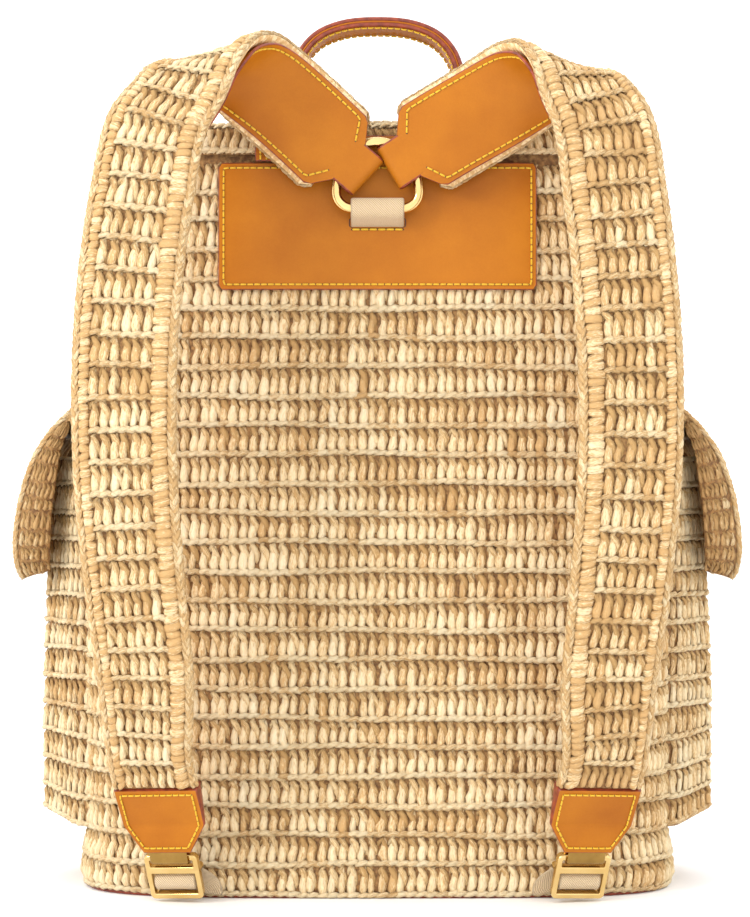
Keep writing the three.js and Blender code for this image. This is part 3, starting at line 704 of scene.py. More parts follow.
LEG = Strand(
    across=[-0.35, -0.45, -0.45, -0.3, -0.05, 0.25, 0.35],
    up=[0.2, 1.5, 3.4, 6.1, 9.2, 12.2, 14.8],
    lift=[-1.0, 0.3, 0.9, 0.9, 0.5, 0.1, -0.7],
    half_width=[1.2, 2.2, 2.55, 2.35, 1.85, 1.35, 0.8],
    half_depth=[0.9, 1.6, 1.9, 1.8, 1.45, 1.1, 0.8],
    grade=0,
)
WRAP = Strand(
    across=[-1.5, -0.5, 0.7, 1.65, 2.0, 1.8],
    up=[14.4, 13.0, 11.0, 8.4, 5.6, 3.2],
    lift=[0.1, 1.0, 1.15, 0.6, -0.2, -1.0],
    half_width=[0.95, 1.55, 1.85, 1.75, 1.4, 0.8],
    half_depth=[0.8, 1.15, 1.35, 1.25, 1.0, 0.7],
    grade=1,
)
NECK = Strand(
    across=[-2.0, -1.4, -0.4, 0.9],
    up=[10.2, 12.2, 14.0, 15.2],
    lift=[-0.7, 0.5, 0.7, 0.0],
    half_width=[0.6, 1.05, 1.0, 0.6],
    half_depth=[0.6, 0.9, 0.9, 0.6],
)
OVER = Strand(
    across=[-4.4, -2.2, 0.0, 2.2, 4.4],
    up=[-1.2, -0.5, 0.35, 0.7, 0.3],
    lift=[0.3, 1.7, 2.1, 1.6, 0.3],
    half_width=[0.8, 1.45, 1.65, 1.45, 0.8],
    half_depth=[0.6, 1.0, 1.1, 1.0, 0.6],
)
UNDER = Strand(
    across=[-3.6, -1.6, 0.4, 2.4, 4.0],
    up=[0.8, 0.3, -0.5, -1.1, -1.2],
    lift=[0.0, 1.2, 1.5, 1.1, -0.1],
    half_width=[0.7, 1.25, 1.4, 1.25, 0.7],
    half_depth=[0.5, 0.9, 1.0, 0.9, 0.5],
)


@dataclass
class Crochet:
    """Rows of upright stitches with a braided line between each two rows.

    Attributes:
        label: Start of the pieces' names.
        sheet: Where the stitches stand.
        seed: Seed of the random numbers.
        detail: How fine the strands are.
        pitch: Width of a stitch, in mm, where columns doesn't give their number.
        rise: Height of a row, in mm, where rows doesn't give their number.
        depth: Share of a strand's full height off the sheet.
        sway: How far the lines wander, in mm.
        shade: Mean shade of the stitches.
        span: First and last place across, in mm.
        reach: First and last place up, in mm.
        rows: Number of rows.
        columns: Number of stitches in a row.
        keep: Picks stitches by their place.
        bias: Adds to the shade by place; used for painted light and painted shade.
        edges: Braided lines at the ends: a place in the first row, or 1 for the last row's top.
        lined: Makes the braided lines.
    """

    label: str
    sheet: Sheet
    seed: int
    detail: Detail = Detail.PLAIN
    pitch: float = 5.6
    rise: float = 16.5
    depth: float = 1.0
    sway: float = 0.7
    shade: float = 0.42
    span: tuple[float, float] | None = None
    reach: tuple[float, float] | None = None
    rows: int | None = None
    columns: int | None = None
    keep: Callable[[Array, Array], Array] | None = None
    bias: Callable[[Array, Array], Array] | None = None
    edges: tuple[float, ...] = ()
    lined: bool = True

    def __post_init__(self) -> None:
        """Counts the rows and columns and sets up the random numbers."""
        self.rng = np.random.default_rng(self.seed)
        low, high = self.span or (0.0, self.sheet.width)
        bottom, top = self.reach or (0.0, self.sheet.height)
        self.rows = self.rows or max(round((top - bottom) / self.rise), 1)
        self.columns = self.columns or max(round((high - low) / self.pitch), 1)
        self.low, self.bottom = low, bottom
        self.step_u = (high - low) / self.columns
        self.step_v = (top - bottom) / self.rows

    def line(self, row: Array, u: Array) -> Array:
        """Height of the line under a row, a little wavy along it."""
        wave = np.sin(u / 41 + row * 1.9) + 0.55 * np.sin(u / 15 + row * 3.1)
        return self.bottom + row * self.step_v + self.sway * wave

    def strands(
        self, skein: Skein, make: Strand, u: Array, row: Array, tone: Array, loose: float
    ) -> None:
        """Adds one strand to each of many stitches.

        Args:
            skein: Where the strands go.
            make: The strand's shape.
            u: Place of each stitch across, in mm.
            row: Row of each stitch.
            tone: Shade of each stitch.
            loose: How far the strands differ from each other.
        """
        rings, sides = self.detail.value[make.grade]
        table = make.table(rings)
        count = len(u)
        wide = self.step_u / 5.6
        tall = self.step_v / 16.5
        swell = 1 + self.rng.normal(0, 0.09 * loose, (count, 1))
        lean = self.rng.normal(0, 0.55 * loose, (count, 1))
        shift = self.rng.normal(0, 0.3 * loose, (count, 1))
        proud = self.rng.normal(0, 0.22 * loose, (count, 1))
        bend = self.rng.normal(0, 0.25 * loose, (count, rings))
        share = np.linspace(-0.5, 0.5, rings)
        across = table[:, 0] * wide + lean * share + shift + bend
        up = table[:, 1] * tall + self.rng.normal(0, 0.3 * loose, (count, 1))
        lift = (table[:, 2] + proud) * self.depth
        path = np.stack([across, up, lift], axis=-1)
        along = unit(np.gradient(path, axis=1))
        side = unit(np.cross(np.array([0.0, 0.0, 1.0]), along))
        off = np.cross(along, side)
        half_w = (table[:, 3] * wide * swell)[..., None, None]
        half_d = (table[:, 4] * swell * self.depth)[..., None, None]
        ring = swept(path, side, off, half_w, half_d, sides)
        at_u = u[:, None, None] + ring[..., 0]
        share_up = ring[..., 1] / self.step_v
        floor = self.line(row[:, None, None], at_u)
        ceiling = self.line(row[:, None, None] + 1, at_u)
        at_v = floor + (ceiling - floor) * share_up
        skein.tubes(self.sheet.at(at_u, at_v, ring[..., 2]), tone)

    def dress(self, finishes: Finishes, stands_for: Iterable[str] = ()) -> list[Piece]:
        """Makes the stitches.

        Args:
            finishes: The bag's finishes.
            stands_for: CAD nodes that the stitches stand for, with their backing.

        Returns:
            The pieces.
        """
        column, row = np.meshgrid(np.arange(self.columns), np.arange(self.rows))
        column, row = column.ravel(), row.ravel()
        u = self.low + (column + 0.5) * self.step_u
        u = u + self.rng.normal(0, 0.25, len(u))
        v = self.bottom + (row + 0.5) * self.step_v
        if self.keep is not None:
            kept = self.keep(u, v)
            u, v, row = u[kept], v[kept], row[kept]
        drift = 0.1 * np.sin(u / 23 + row * 2.3) + self.rng.normal(0, 0.05, self.rows)[row]
        tone = np.clip(self.shade + drift + self.rng.normal(0, 0.13, len(u)), 0, 1)
        if self.bias is not None:
            tone = np.clip(tone + self.bias(u, v), 0, 1.2)
        posts = Skein(f"{self.label}_posts")
        self.strands(posts, LEG, u, row, tone - 0.12, 1.0)
        wraps = Skein(f"{self.label}_wraps")
        darker = tone + np.abs(self.rng.normal(0, 0.13, len(u)))
        self.strands(wraps, WRAP, u, row, darker, 1.0)
        if self.detail is Detail.NEAR:
            self.strands(wraps, NECK, u, row, darker - 0.06, 1.0)
        made = [
            posts.piece([finishes.post], "straw", stands_for),
            wraps.piece([finishes.wrap], "straw", stands_for),
        ]
        if self.lined:
            chain = Skein(f"{self.label}_chains")
            lines = row > 0
            x, r, t = u[lines], row[lines].astype(float), tone[lines]
            for place in self.edges:
                low = place < 0.5
                rim = row == (0 if low else self.rows - 1)
                level = place if low else self.rows - 0.06
                x = np.concatenate([x, u[rim]])
                r = np.concatenate([r, np.full(rim.sum(), level)])
                t = np.concatenate([t, tone[rim]])
            if self.detail is Detail.NEAR:
                self.strands(chain, UNDER, x + self.step_u * 0.4, r, t, 0.55)
            self.strands(chain, OVER, x, r, t - 0.15, 0.55)
            made.append(chain.piece([finishes.chain], "straw", stands_for))
        return made


@dataclass
class Cord:
    """Fat cord wrapped crosswise, or a thin braid, that follows a line on a sheet."""

    sheet: Sheet
    half_width: float = 4.0
    height: float = 3.0
    pitch: float = 4.3
    slant: float = 0.7
    seed: int = 5
    base: float = -1.0

    def wraps(self, skein: Skein, u: Callable[[Array], Array], ends: tuple[float, float]) -> None:
        """Adds the wraps of a cord that runs up the sheet.

        Args:
            skein: Where they go.
            u: Place across for places up.
            ends: Lowest and highest place up, in mm.
        """
        rng = np.random.default_rng(self.seed)
        count = max(int((ends[1] - ends[0]) / self.pitch), 2)
        v = np.linspace(*ends, count) + rng.normal(0, 0.12, count)
        arch = np.linspace(0, np.pi, 7)
        across = -np.cos(arch) * self.half_width
        lift = self.base + np.sin(arch) * self.height
        swell = 1 + rng.normal(0, 0.08, (count, 1))
        tilt = self.slant + rng.normal(0, 0.55, (count, 1))
        path = np.stack(
            np.broadcast_arrays(across * swell, -np.cos(arch) * tilt, lift * swell), axis=-1
        )
        along = unit(np.gradient(path, axis=1))
        side = np.array([0.0, 1.0, 0.0])
        off = unit(np.cross(along, np.broadcast_to(side, along.shape)))
        taper = np.array([0.6, 0.9, 1.0, 1.05, 1.0, 0.9, 0.6])[None, :, None, None]
        half = self.pitch * 0.66 * taper
        ring = swept(path, side, off, half, half * 0.42, 5)
        self.lay(skein, u, v, ring, 0.6 + rng.normal(0, 0.14, count))

    def braid(self, skein: Skein, u: Callable[[Array], Array], ends: tuple[float, float]) -> None:
        """Adds a thin braid that runs up the sheet.

        Args:
            skein: Where it goes.
            u: Place across for places up.
            ends: Lowest and highest place up, in mm.
        """
        rng = np.random.default_rng(self.seed + 1)
        count = max(int((ends[1] - ends[0]) / self.pitch), 2)
        for hand in (-1, 1):
            v = np.linspace(*ends, count) + hand * self.pitch * 0.25
            share = np.linspace(-1, 1, 5)
            up = share * self.pitch * 0.85
            across = hand * (share * 0.55 + 0.25) * self.half_width
            lift = self.base + self.height * (0.55 + 0.45 * np.cos(share * 1.6))
            wide = self.half_width * 0.52 * np.array([0.5, 0.95, 1.1, 0.95, 0.5])
            path = np.stack(np.broadcast_arrays(across, up, lift), axis=-1)
            path = path + rng.normal(0, 0.12, (count, 1, 3))
            along = unit(np.gradient(path, axis=1))
            side = unit(np.cross(np.array([0.0, 0.0, 1.0]), along))
            off = np.cross(along, side)
            half = wide[None, :, None, None]
            ring = swept(path, side, off, half, half * 0.8, 5)
            self.lay(skein, u, v, ring, 0.56 + rng.normal(0, 0.14, count))

    def lay(
        self, skein: Skein, u: Callable[[Array], Array], v: Array, ring: Array, tone: Array
    ) -> None:
        """Lays strands on the sheet, each at its place up the line."""
        at_v = v[:, None, None] + ring[..., 1]
        at_u = u(at_v) + ring[..., 0]
        skein.tubes(self.sheet.at(at_u, at_v, ring[..., 2]), np.clip(tone, 0, 1))


class Seam:
    """Rows of thread stitches with a needle hole between each two."""

    def __init__(self, name: str, pitch: float = 3.9, radius: float = 0.52) -> None:
        """Starts an empty seam."""
        self.skein = Skein(name)
        self.pitch = pitch
        self.radius = radius

    def sew(self, line: Array, normals: Array) -> None:
        """Sews along a line.

        Args:
            line: Points of the line, on the leather.
            normals: Direction off the leather at each point.
        """
        length = arc_lengths(line)
        count = max(round(length[-1] / self.pitch), 1)
        pitch = length[-1] / count
        share = np.array([-0.43, -0.3, 0.3, 0.43]) * pitch
        lift = np.array([-0.35, 0.5, 0.5, -0.35]) * self.radius * 2
        middle = (np.arange(count) + 0.5) * pitch
        at = middle[:, None] + share
        path = at_lengths(at, length, line)
        off = unit(at_lengths(at, length, normals))
        path = path + off * lift[:, None]
        along = unit(np.gradient(path, axis=1))
        side = unit(np.cross(off, along))
        up = np.cross(along, side)
        angle = circle(6)[:, None]
        taper = np.array([0.6, 1.0, 1.0, 0.6])[None, :, None, None]
        turn = side[:, :, None] * np.cos(angle) + up[:, :, None] * np.sin(angle)
        ring = path[:, :, None] + turn * self.radius * taper
        self.skein.tubes(ring, 0.5, Coat.FACE.value)
        self.holes(line, normals, length, pitch, count)

    def holes(self, line: Array, normals: Array, length: Array, pitch: float, count: int) -> None:
        """Adds the needle holes, as small dark beads set in the leather: painted shade for the
        shadow inside each hole.
        """
        at = np.arange(count + 1) * pitch
        centre = at_lengths(at, length, line)
        off = unit(at_lengths(at, length, normals))
        along = unit(np.gradient(centre, axis=0)) if count > 1 else unit(centre[1:] - centre[:1])
        side = unit(np.cross(off, along))
        angle = circle(6)
        turn = (
            along[:, None] * np.cos(angle)[None, :, None] * 0.9
            + side[:, None] * np.sin(angle)[None, :, None]
        )
        rings = np.stack(
            [
                centre[:, None] + turn * (self.radius * scale) + off[:, None] * lift
                for scale, lift in ((1.1, -0.25), (1.0, 0.06), (0.03, 0.1))
            ],
            axis=1,
        )
        self.skein.tubes(rings, 0.5, Coat.EDGE.value)

    def piece(self, finishes: Finishes) -> Piece:
        """Makes the seam's mesh."""
        return self.skein.piece([finishes.thread, finishes.hole], "leather")


@dataclass
class LeatherSheet:
    """Leather cut to an outline and laid on a surface, with painted rounded edges."""

    name: str
    place: Callable[[Array, Array, Array], Array]
    outline: Callable[[Array], tuple[Array, Array]]
    bottom: float
    top: float
    thickness: float = 2.0
    columns: int = 24
    levels: int = 24

    def grid(self, inset: float, lift: Callable[[Array], Array]) -> Array:
        """Points of one face, pulled in from the outline."""
        z = np.linspace(self.bottom + inset, self.top - inset, self.levels)
        low, high = self.outline(np.clip(z, self.bottom + 0.01, self.top - 0.01))
        share = np.linspace(0, 1, self.columns)[None]
        x = (low + inset)[:, None] * (1 - share) + (high - inset)[:, None] * share
        level = np.broadcast_to(z[:, None], x.shape)
        return self.place(x, level, np.broadcast_to(lift(x), x.shape))

    def rim(self, points: Array) -> Array:
        """Points of a face's rim in order."""
        return np.concatenate(
            [points[0, :-1], points[:-1, -1], points[-1, :0:-1], points[:0:-1, 0]]
        )

    def make(
        self, finishes: Finishes, stands_for: Iterable[str] = (), edge: bool = True
    ) -> Piece:
        """Makes the leather.

        Args:
            finishes: The bag's finishes.
            stands_for: CAD nodes that it replaces.
            edge: Paints the edge.

        Returns:
            The piece.
        """
        skein = Skein(self.name)
        t = self.thickness
        face = self.grid(0.55, lambda x: np.full_like(x, t))
        back = self.grid(0.55, lambda x: np.zeros_like(x))
        flip = Sheet.inward(face, back.mean(axis=(0, 1)) * 2 - face.mean(axis=(0, 1))) < 0
        for points, turned in ((face, flip), (back, not flip)):
            order = points[:, ::-1] if turned else points
            skein.tubes(order[None], 0.5, 0, open_section=True)
        profile = [(0.55, 1.0), (0.22, 0.93), (0.0, 0.72), (0.0, 0.28), (0.22, 0.07), (0.55, 0.0)]
        rings = np.stack(
            [self.rim(self.grid(i, lambda x, s=s: np.full_like(x, t * s))) for i, s in profile]
        )
        if flip:
            rings = rings[:, ::-1]
        coat = (Coat.EDGE if edge else Coat.FACE).value
        skein.tubes(rings[::-1][None], 0.5, coat)
        return skein.piece([finishes.leather, finishes.edge], "leather", stands_for)

    def sew(self, seam: Seam, line: Array) -> None:
        """Sews along a line given as places across and up."""
        length = arc_lengths(line)
        at = np.linspace(0, length[-1], max(int(length[-1]), 2))
        x, z = at_lengths(at, length, line).T
        on = self.place(x, z, np.full_like(x, self.thickness))
        off = self.place(x, z, np.full_like(x, self.thickness + 1)) - on
        seam.sew(on, off)


@dataclass(frozen=True)
class Gaps:
    """Clearance at seams and thickness of the sheets."""

    seam: float = 0.4
    woven: float = 4.0
    leather: float = 2.0
    tape: float = 1.6


GAPS = Gaps()


@dataclass(frozen=True)
class Hidden:
    """Regions of the tub that other pieces cover, where no stitch is made."""

    side_half: float = 52.0
    patch_half: float = 86.0
    patch_bottom: float = 352.0
    patch_top: float = 409.0
    strip_half: float = 64.0
    strip_bottom: float = 408.0
    rim_half: float = 146.0
    rim_bottom: float = 421.0
    flap_half: float = 134.0
    flap_bottom: float = 308.0
    pocket_middle: float = 8.0
    pocket_half: float = 52.0
    pocket_bottom: float = 46.0
    pocket_top: float = 236.0


HIDDEN = Hidden()


@dataclass
class Tub:
    """Main compartment: a crocheted tub with a rounded plan, on a leather base."""

    width: float = 349.0
    depth: float = 190.0
    height: float = 434.0
    power: float = 4.0
    levels: tuple[float, ...] = (0.0067, 0.02, 0.045, 0.07, 0.3, 0.62, 0.8, 0.9, 0.97, 1.0)
    widths: tuple[float, ...] = (0.985, 1, 0.993, 0.98, 0.985, 0.985, 0.965, 0.935, 0.9, 0.88)
    depths: tuple[float, ...] = (0.985, 1, 0.992, 0.98, 0.99, 0.995, 0.992, 0.985, 0.97, 0.955)
    backing: float = 1.8

    def half(self, z: Array | float) -> tuple[Array, Array]:
        """Half width and half depth at a height."""
        share = np.asarray(z, float) / self.height
        wide = np.interp(share, self.levels, self.widths) * self.width / 2
        return wide, np.interp(share, self.levels, self.depths) * self.depth / 2

    def face_depth(self, x: Array, z: Array, lift: Array | float = 0.0) -> Array:
        """Depth of the outer face from the middle, at a place across."""
        wide, deep = self.half(z)
        share = np.minimum(np.abs(x) / (wide + lift), 1)
        return (deep + lift) * (1 - share**self.power) ** (1 / self.power)

    def side_reach(self, y: Array, z: Array, lift: Array | float = 0.0) -> Array:
        """Reach of the outer face from the middle, at a place along the side."""
        wide, deep = self.half(z)
        share = np.minimum(np.abs(y) / (deep + lift), 1)
        return (wide + lift) * (1 - share**self.power) ** (1 / self.power)

    def ring(
        self, angle: Array, z: Array | float, lift: float, level: float | None = None
    ) -> Array:
        """Points of the plan section at a height."""
        wide, deep = self.half(z)
        power = 2 / self.power
        x = np.sign(np.cos(angle)) * np.abs(np.cos(angle)) ** power * (wide + lift)
        y = np.sign(np.sin(angle)) * np.abs(np.sin(angle)) ** power * (deep + lift)
        height = np.full_like(x, level if level is not None else z)
        return np.stack([x, y, height], axis=-1)

    def even_angles(self, count: int, margin: float) -> Array:
        """Angles even in length round the plan, from the front's middle, with a margin."""
        fine = np.linspace(0, 2 * np.pi, 20001) + np.pi / 2
        length = arc_lengths(self.ring(fine, self.height * 0.5, 0.0))
        at = np.linspace(-margin, length[-1] + margin, count)
        return np.interp(at % length[-1], length, fine)

    @staticmethod
    def section_angles(count: int = 144) -> Array:
        """Angles of the sides of a whole plan section."""
        return (np.arange(count) + 0.5) / count * 2 * np.pi

    def backing_shell(self, finishes: Finishes) -> None:
        """Makes the wall and floor behind the stitches."""
        skein = Skein("tub_backing")
        angle = self.section_angles()
        heights = np.array(self.levels) * self.height
        outer = [self.ring(angle, z, -self.backing) for z in heights]
        inner = [self.ring(angle, z, -GAPS.woven) for z in heights[::-1][:-3]]
        floor = self.ring(angle, heights[0], -GAPS.woven, heights[0] + GAPS.woven)
        skein.loft(np.stack([*outer, *inner, floor]))
        skein.piece([finishes.ground], "straw", ["body"])

    def base(self, finishes: Finishes) -> None:
        """Makes the leather base."""
        skein = Skein("base_leather_sheet")
        angle = self.section_angles()
        z0 = self.levels[0] * self.height
        rows = ((0.0, -2.0), (0.4, -1.2), (1.25, -1.0), (2.1, -1.2), (z0 - GAPS.seam, -1.8))
        rings = np.stack([self.ring(angle, z0, lift, level) for level, lift in rows])
        skein.loft(rings, coat=Coat.EDGE.value)
        skein.piece([finishes.leather, finishes.edge], "leather", ["base_leather"])

    def sheet(self) -> Sheet:
        """Sheet that carries the stitches all round."""
        margin = 12.0
        angle = self.even_angles(480, margin)
        heights = np.linspace(0.6, self.height, 110)
        rows = np.stack([self.ring(angle, z, -self.backing) for z in heights])
        return Sheet(rows, np.array([0.0, 0.0, self.height / 2]), margin)

    def weave(self, finishes: Finishes) -> None:
        """Makes the stitches of the back, the sides and the front."""
        sheet = self.sheet()

        def on(u: Array, v: Array) -> tuple[Array, Array, Array]:
            """Place of stitches in space."""
            at = sheet.at(u, v)
            return at[:, 0], at[:, 1], at[:, 2]

        def under_rim(x: Array, z: Array) -> Array:
            """Places that the flap covers just under the rim."""
            return (np.abs(x) < HIDDEN.rim_half) & (z > HIDDEN.rim_bottom)

        def back(u: Array, v: Array) -> Array:
            """Stitches of the back that no leather or flap hides."""
            x, y, z = on(u, v)
            patch = (z > HIDDEN.patch_bottom) & (z < HIDDEN.patch_top)
            patch &= np.abs(x) < HIDDEN.patch_half
            strip = (np.abs(x) < HIDDEN.strip_half) & (z > HIDDEN.strip_bottom)
            return (y < -HIDDEN.side_half) & ~patch & ~under_rim(x, z) & ~strip

        def front(u: Array, v: Array) -> Array:
            """Stitches of the front that the flap doesn't hide."""
            x, y, z = on(u, v)
            flap = (np.abs(x) < HIDDEN.flap_half) & (z > HIDDEN.flap_bottom)
            return (y > HIDDEN.side_half) & ~flap & ~under_rim(x, z)

        def sides(u: Array, v: Array) -> Array:
            """Stitches of the sides outside the pockets."""
            _, y, z = on(u, v)
            pocket = (z > HIDDEN.pocket_bottom) & (z < HIDDEN.pocket_top)
            pocket &= np.abs(y - HIDDEN.pocket_middle) < HIDDEN.pocket_half
            return (np.abs(y) <= HIDDEN.side_half) & ~pocket

        def painted_light_left(u: Array, v: Array) -> Array:
            """Painted light: makes the left a little paler, where the lamp falls more strongly."""
            x, _, _ = on(u, v)
            return 0.07 * x / (self.width / 2)

        rows = round((self.height - 2.9) / 16.55)
        for label, keep, detail, seed in (
            ("back", back, Detail.NEAR, 11),
            ("front", front, Detail.PLAIN, 12),
            ("sides", sides, Detail.PLAIN, 13),
        ):
            Crochet(
                label,
                sheet,
                seed,
                detail,
                rows=rows,
                reach=(2.3, sheet.height),
                keep=keep,
                bias=painted_light_left,
                edges=(-0.01,),
            ).dress(finishes, ["body"])


@dataclass
class TopFlap:
    """Crocheted flap from the back of the rim, over the opening and down the front."""

    tub: Tub
    root: float = 13.0
    drop: float = 150.0
    crown: float = 8.0
    ease: float = 1.8
    reach: float = 0.9731
    tab_width: float = 42.0
    tab_length: float = 92.0
    edge_room: float = 5.5
    edge_inset: float = 2.6

    def rows(self, rise: float, columns: int = 61) -> Array:
        """Rows of the flap at a height above its inner face."""
        rim = self.tub.height
        across = self.reach * np.linspace(-1, 1, columns)
        along = (1 - np.abs(across) ** self.tub.power) ** (1 / self.tub.power)
        wide, deep = self.tub.half(rim)
        grow = GAPS.seam + rise

        def wall(z: float, front: int) -> Array:
            """Row on the wall below the rim."""
            w, d = self.tub.half(z)
            return np.stack([across * (w + grow), front * along * (d + grow), 0 * across + z], -1)

        def top(share: float, up: float) -> Array:
            """Row across the opening."""
            dome = self.crown * (1 - across**2) * (1 - share**2)
            height = rim + GAPS.seam + dome + up
            return np.stack([across * wide, share * along * deep, height], -1)

        def hanging(share: float, width: float) -> Array:
            """Row on the front."""
            x = across * width * wide
            z = rim - self.drop * share
            y = self.tub.face_depth(x, np.full_like(x, z), grow + self.ease)
            return np.stack([x, y, 0 * x + z], -1)

        over = 1.001 + 0.044 * rise / GAPS.woven
        return np.stack(
            [
                wall(rim - self.root, -1),
                wall(rim - self.root * 0.4, -1),
                top(-over, rise * 0.6),
                *[top(share, rise) for share in (-0.93, -0.6, 0, 0.6, 0.93)],
                top(over, rise * 0.6),
                wall(rim - self.drop * 0.06, 1),
                *[hanging(s, w) for s, w in ((0.35, 0.99), (0.7, 0.95), (0.9, 0.89), (1, 0.8))],
            ]
        )

    def make(self, finishes: Finishes) -> None:
        """Makes the flap, its stitches, its corded edge and its leather tab."""
        skein = Skein("top_flap_backing")
        outer, inner = (smooth_rows(self.rows(rise, 25), 50) for rise in (2.3, 0.3))
        skein.loft(np.concatenate([outer, inner[:, ::-1]], axis=1))
        skein.piece([finishes.ground], "straw", ["main_flap"])
        sheet = Sheet(smooth_rows(self.rows(2.2, 121), 260), np.array([0, 0, 330.0]))
        Crochet(
            "top_flap",
            sheet,
            21,
            span=(self.edge_room, sheet.width - self.edge_room),
            sway=0.5,
            edges=(0.12, 1.0),
        ).dress(finishes, ["main_flap"])
        edge = Skein("top_flap_edge")
        for u, seed in ((self.edge_inset, 3), (sheet.width - self.edge_inset, 4)):
            cord = Cord(sheet, half_width=3.2, height=2.8, pitch=5.6, seed=seed)
            cord.braid(edge, lambda v, u=u: np.full_like(v, u), (1.0, sheet.height - 1.0))
        edge.piece([finishes.chain], "straw", ["main_flap"])
        self.closing_tab(finishes)

    def closing_tab(self, finishes: Finishes) -> None:
        """Makes the leather tab on the front, with its sewn edge."""
        top = self.tub.height - self.drop * 0.55
        bottom = top - self.tab_length
        half = self.tab_width / 2
        radius = self.tab_width / 3
        lift = GAPS.seam * 2 + GAPS.woven + self.ease

        def place(x: Array, z: Array, up: Array) -> Array:
            """Point on the front, above the flap."""
            y = self.tub.face_depth(x, z, lift + up)
            return np.stack([x, y, z], -1)

        def outline(z: Array) -> tuple[Array, Array]:
            """Left and right edge."""
            return rounded(z, bottom, top, half, radius)

        name = "closing_tab_leather"
        tab = LeatherSheet(name, place, outline, bottom, top, columns=16, levels=36)
        tab.make(finishes, ["closing_tab"])
        seam = Seam("closing_tab_seam")
        tab.sew(seam, rounded_line(bottom, top, half, radius, 3.0))
        seam.piece(finishes)


def rounded(z: Array, bottom: float, top: float, half: float, radius: float) -> tuple[Array, Array]:
    """Left and right edge of a rectangle with rounded corners, at a height."""
    inside = np.maximum(radius - np.minimum(z - bottom, top - z), 0)
    reach = half - radius + np.sqrt(np.maximum(radius**2 - inside**2, 0))
    return -reach, reach


def corners(low: float, high: float, reach: float, r: float) -> list[tuple[float, float]]:
    """Points of a rectangle with rounded corners, as far across on both sides."""
    points = []
    for x, z, start in (
        (reach - r, high - r, 0),
        (-reach + r, high - r, 90),
        (-reach + r, low + r, 180),
        (reach - r, low + r, 270),
    ):
        for step in range(5):
            a = math.radians(start + 22.5 * step)
            points.append((x + r * math.cos(a), z + r * math.sin(a)))
    return points


def rounded_line(bottom: float, top: float, half: float, radius: float, inset: float) -> Array:
    """Closed line inside a rectangle with rounded corners."""
    points = corners(bottom + inset, top - inset, half - inset, max(radius - inset, 0.8))
    return np.array([*points, points[0]])


@dataclass
class BackLeather:
    """Patch and upper strip on the back panel."""

    tub: Tub
    patch_width: float = 180.0
    patch_height: float = 72.0
    patch_below_rim: float = 17.7
    patch_corner: float = 3.0
    strip_width: float = 138.0
    strip_height: float = 14.6
    seam_inset: float = 3.0
    strip_seams: tuple[float, ...] = (3.0, 6.6)
    bar_half: float = 14.5
    bar_level: float = 378.3

    @property
    def patch_top(self) -> float:
        """Height of the patch's upper edge."""
        return self.tub.height - self.patch_below_rim

    def on_back(self, lift: float) -> Callable[[Array, Array, Array], Array]:
        """Placing on the back panel at a lift."""

        def place(x: Array, z: Array, up: Array) -> Array:
            """Point on the back."""
            return np.stack([x, -self.tub.face_depth(x, z, lift + up), z], -1)

        return place

    def make(self, finishes: Finishes) -> None:
        """Makes both leathers with their seams."""
        top, bottom = self.patch_top, self.patch_top - self.patch_height
        half = self.patch_width / 2
        patch = LeatherSheet(
            "back_patch_leather",
            self.on_back(GAPS.seam + 0.5),
            lambda z: rounded(z, bottom, top, half, self.patch_corner),
            bottom,
            top,
            columns=36,
            levels=30,
        )
        patch.make(finishes, ["back_patch"])
        seam = Seam("back_patch_seam")
        patch.sew(seam, rounded_line(bottom, top, half, self.patch_corner, self.seam_inset))
        seam.piece(finishes)
        bar = Seam("keeper_seam", pitch=5.0, radius=0.6)
        ends = [(-self.bar_half, self.bar_level), (self.bar_half, self.bar_level)]
        patch.sew(bar, np.array(ends))
        bar.piece(finishes)
        self.strip(finishes)

    def strip(self, finishes: Finishes) -> None:
        """Makes the strip above the patch."""
        bottom = self.patch_top + GAPS.seam
        top = bottom + self.strip_height
        half = self.strip_width / 2
        strip = LeatherSheet(
            "upper_strip_leather",
            self.on_back(GAPS.seam * 2 + GAPS.woven + 0.4),
            lambda z: rounded(z, bottom, top, half, 0.6),
            bottom,
            top,
            columns=30,
            levels=8,
        )
        strip.make(finishes, ["upper_panel"])
        seam = Seam("upper_strip_seam", pitch=3.6)
        for inset in self.strip_seams:
            for side in Side:
                at = side.value * (half - inset)
                strip.sew(seam, np.array([(at, bottom + 0.6), (at, top - 0.8)]))
        seam.piece(finishes)


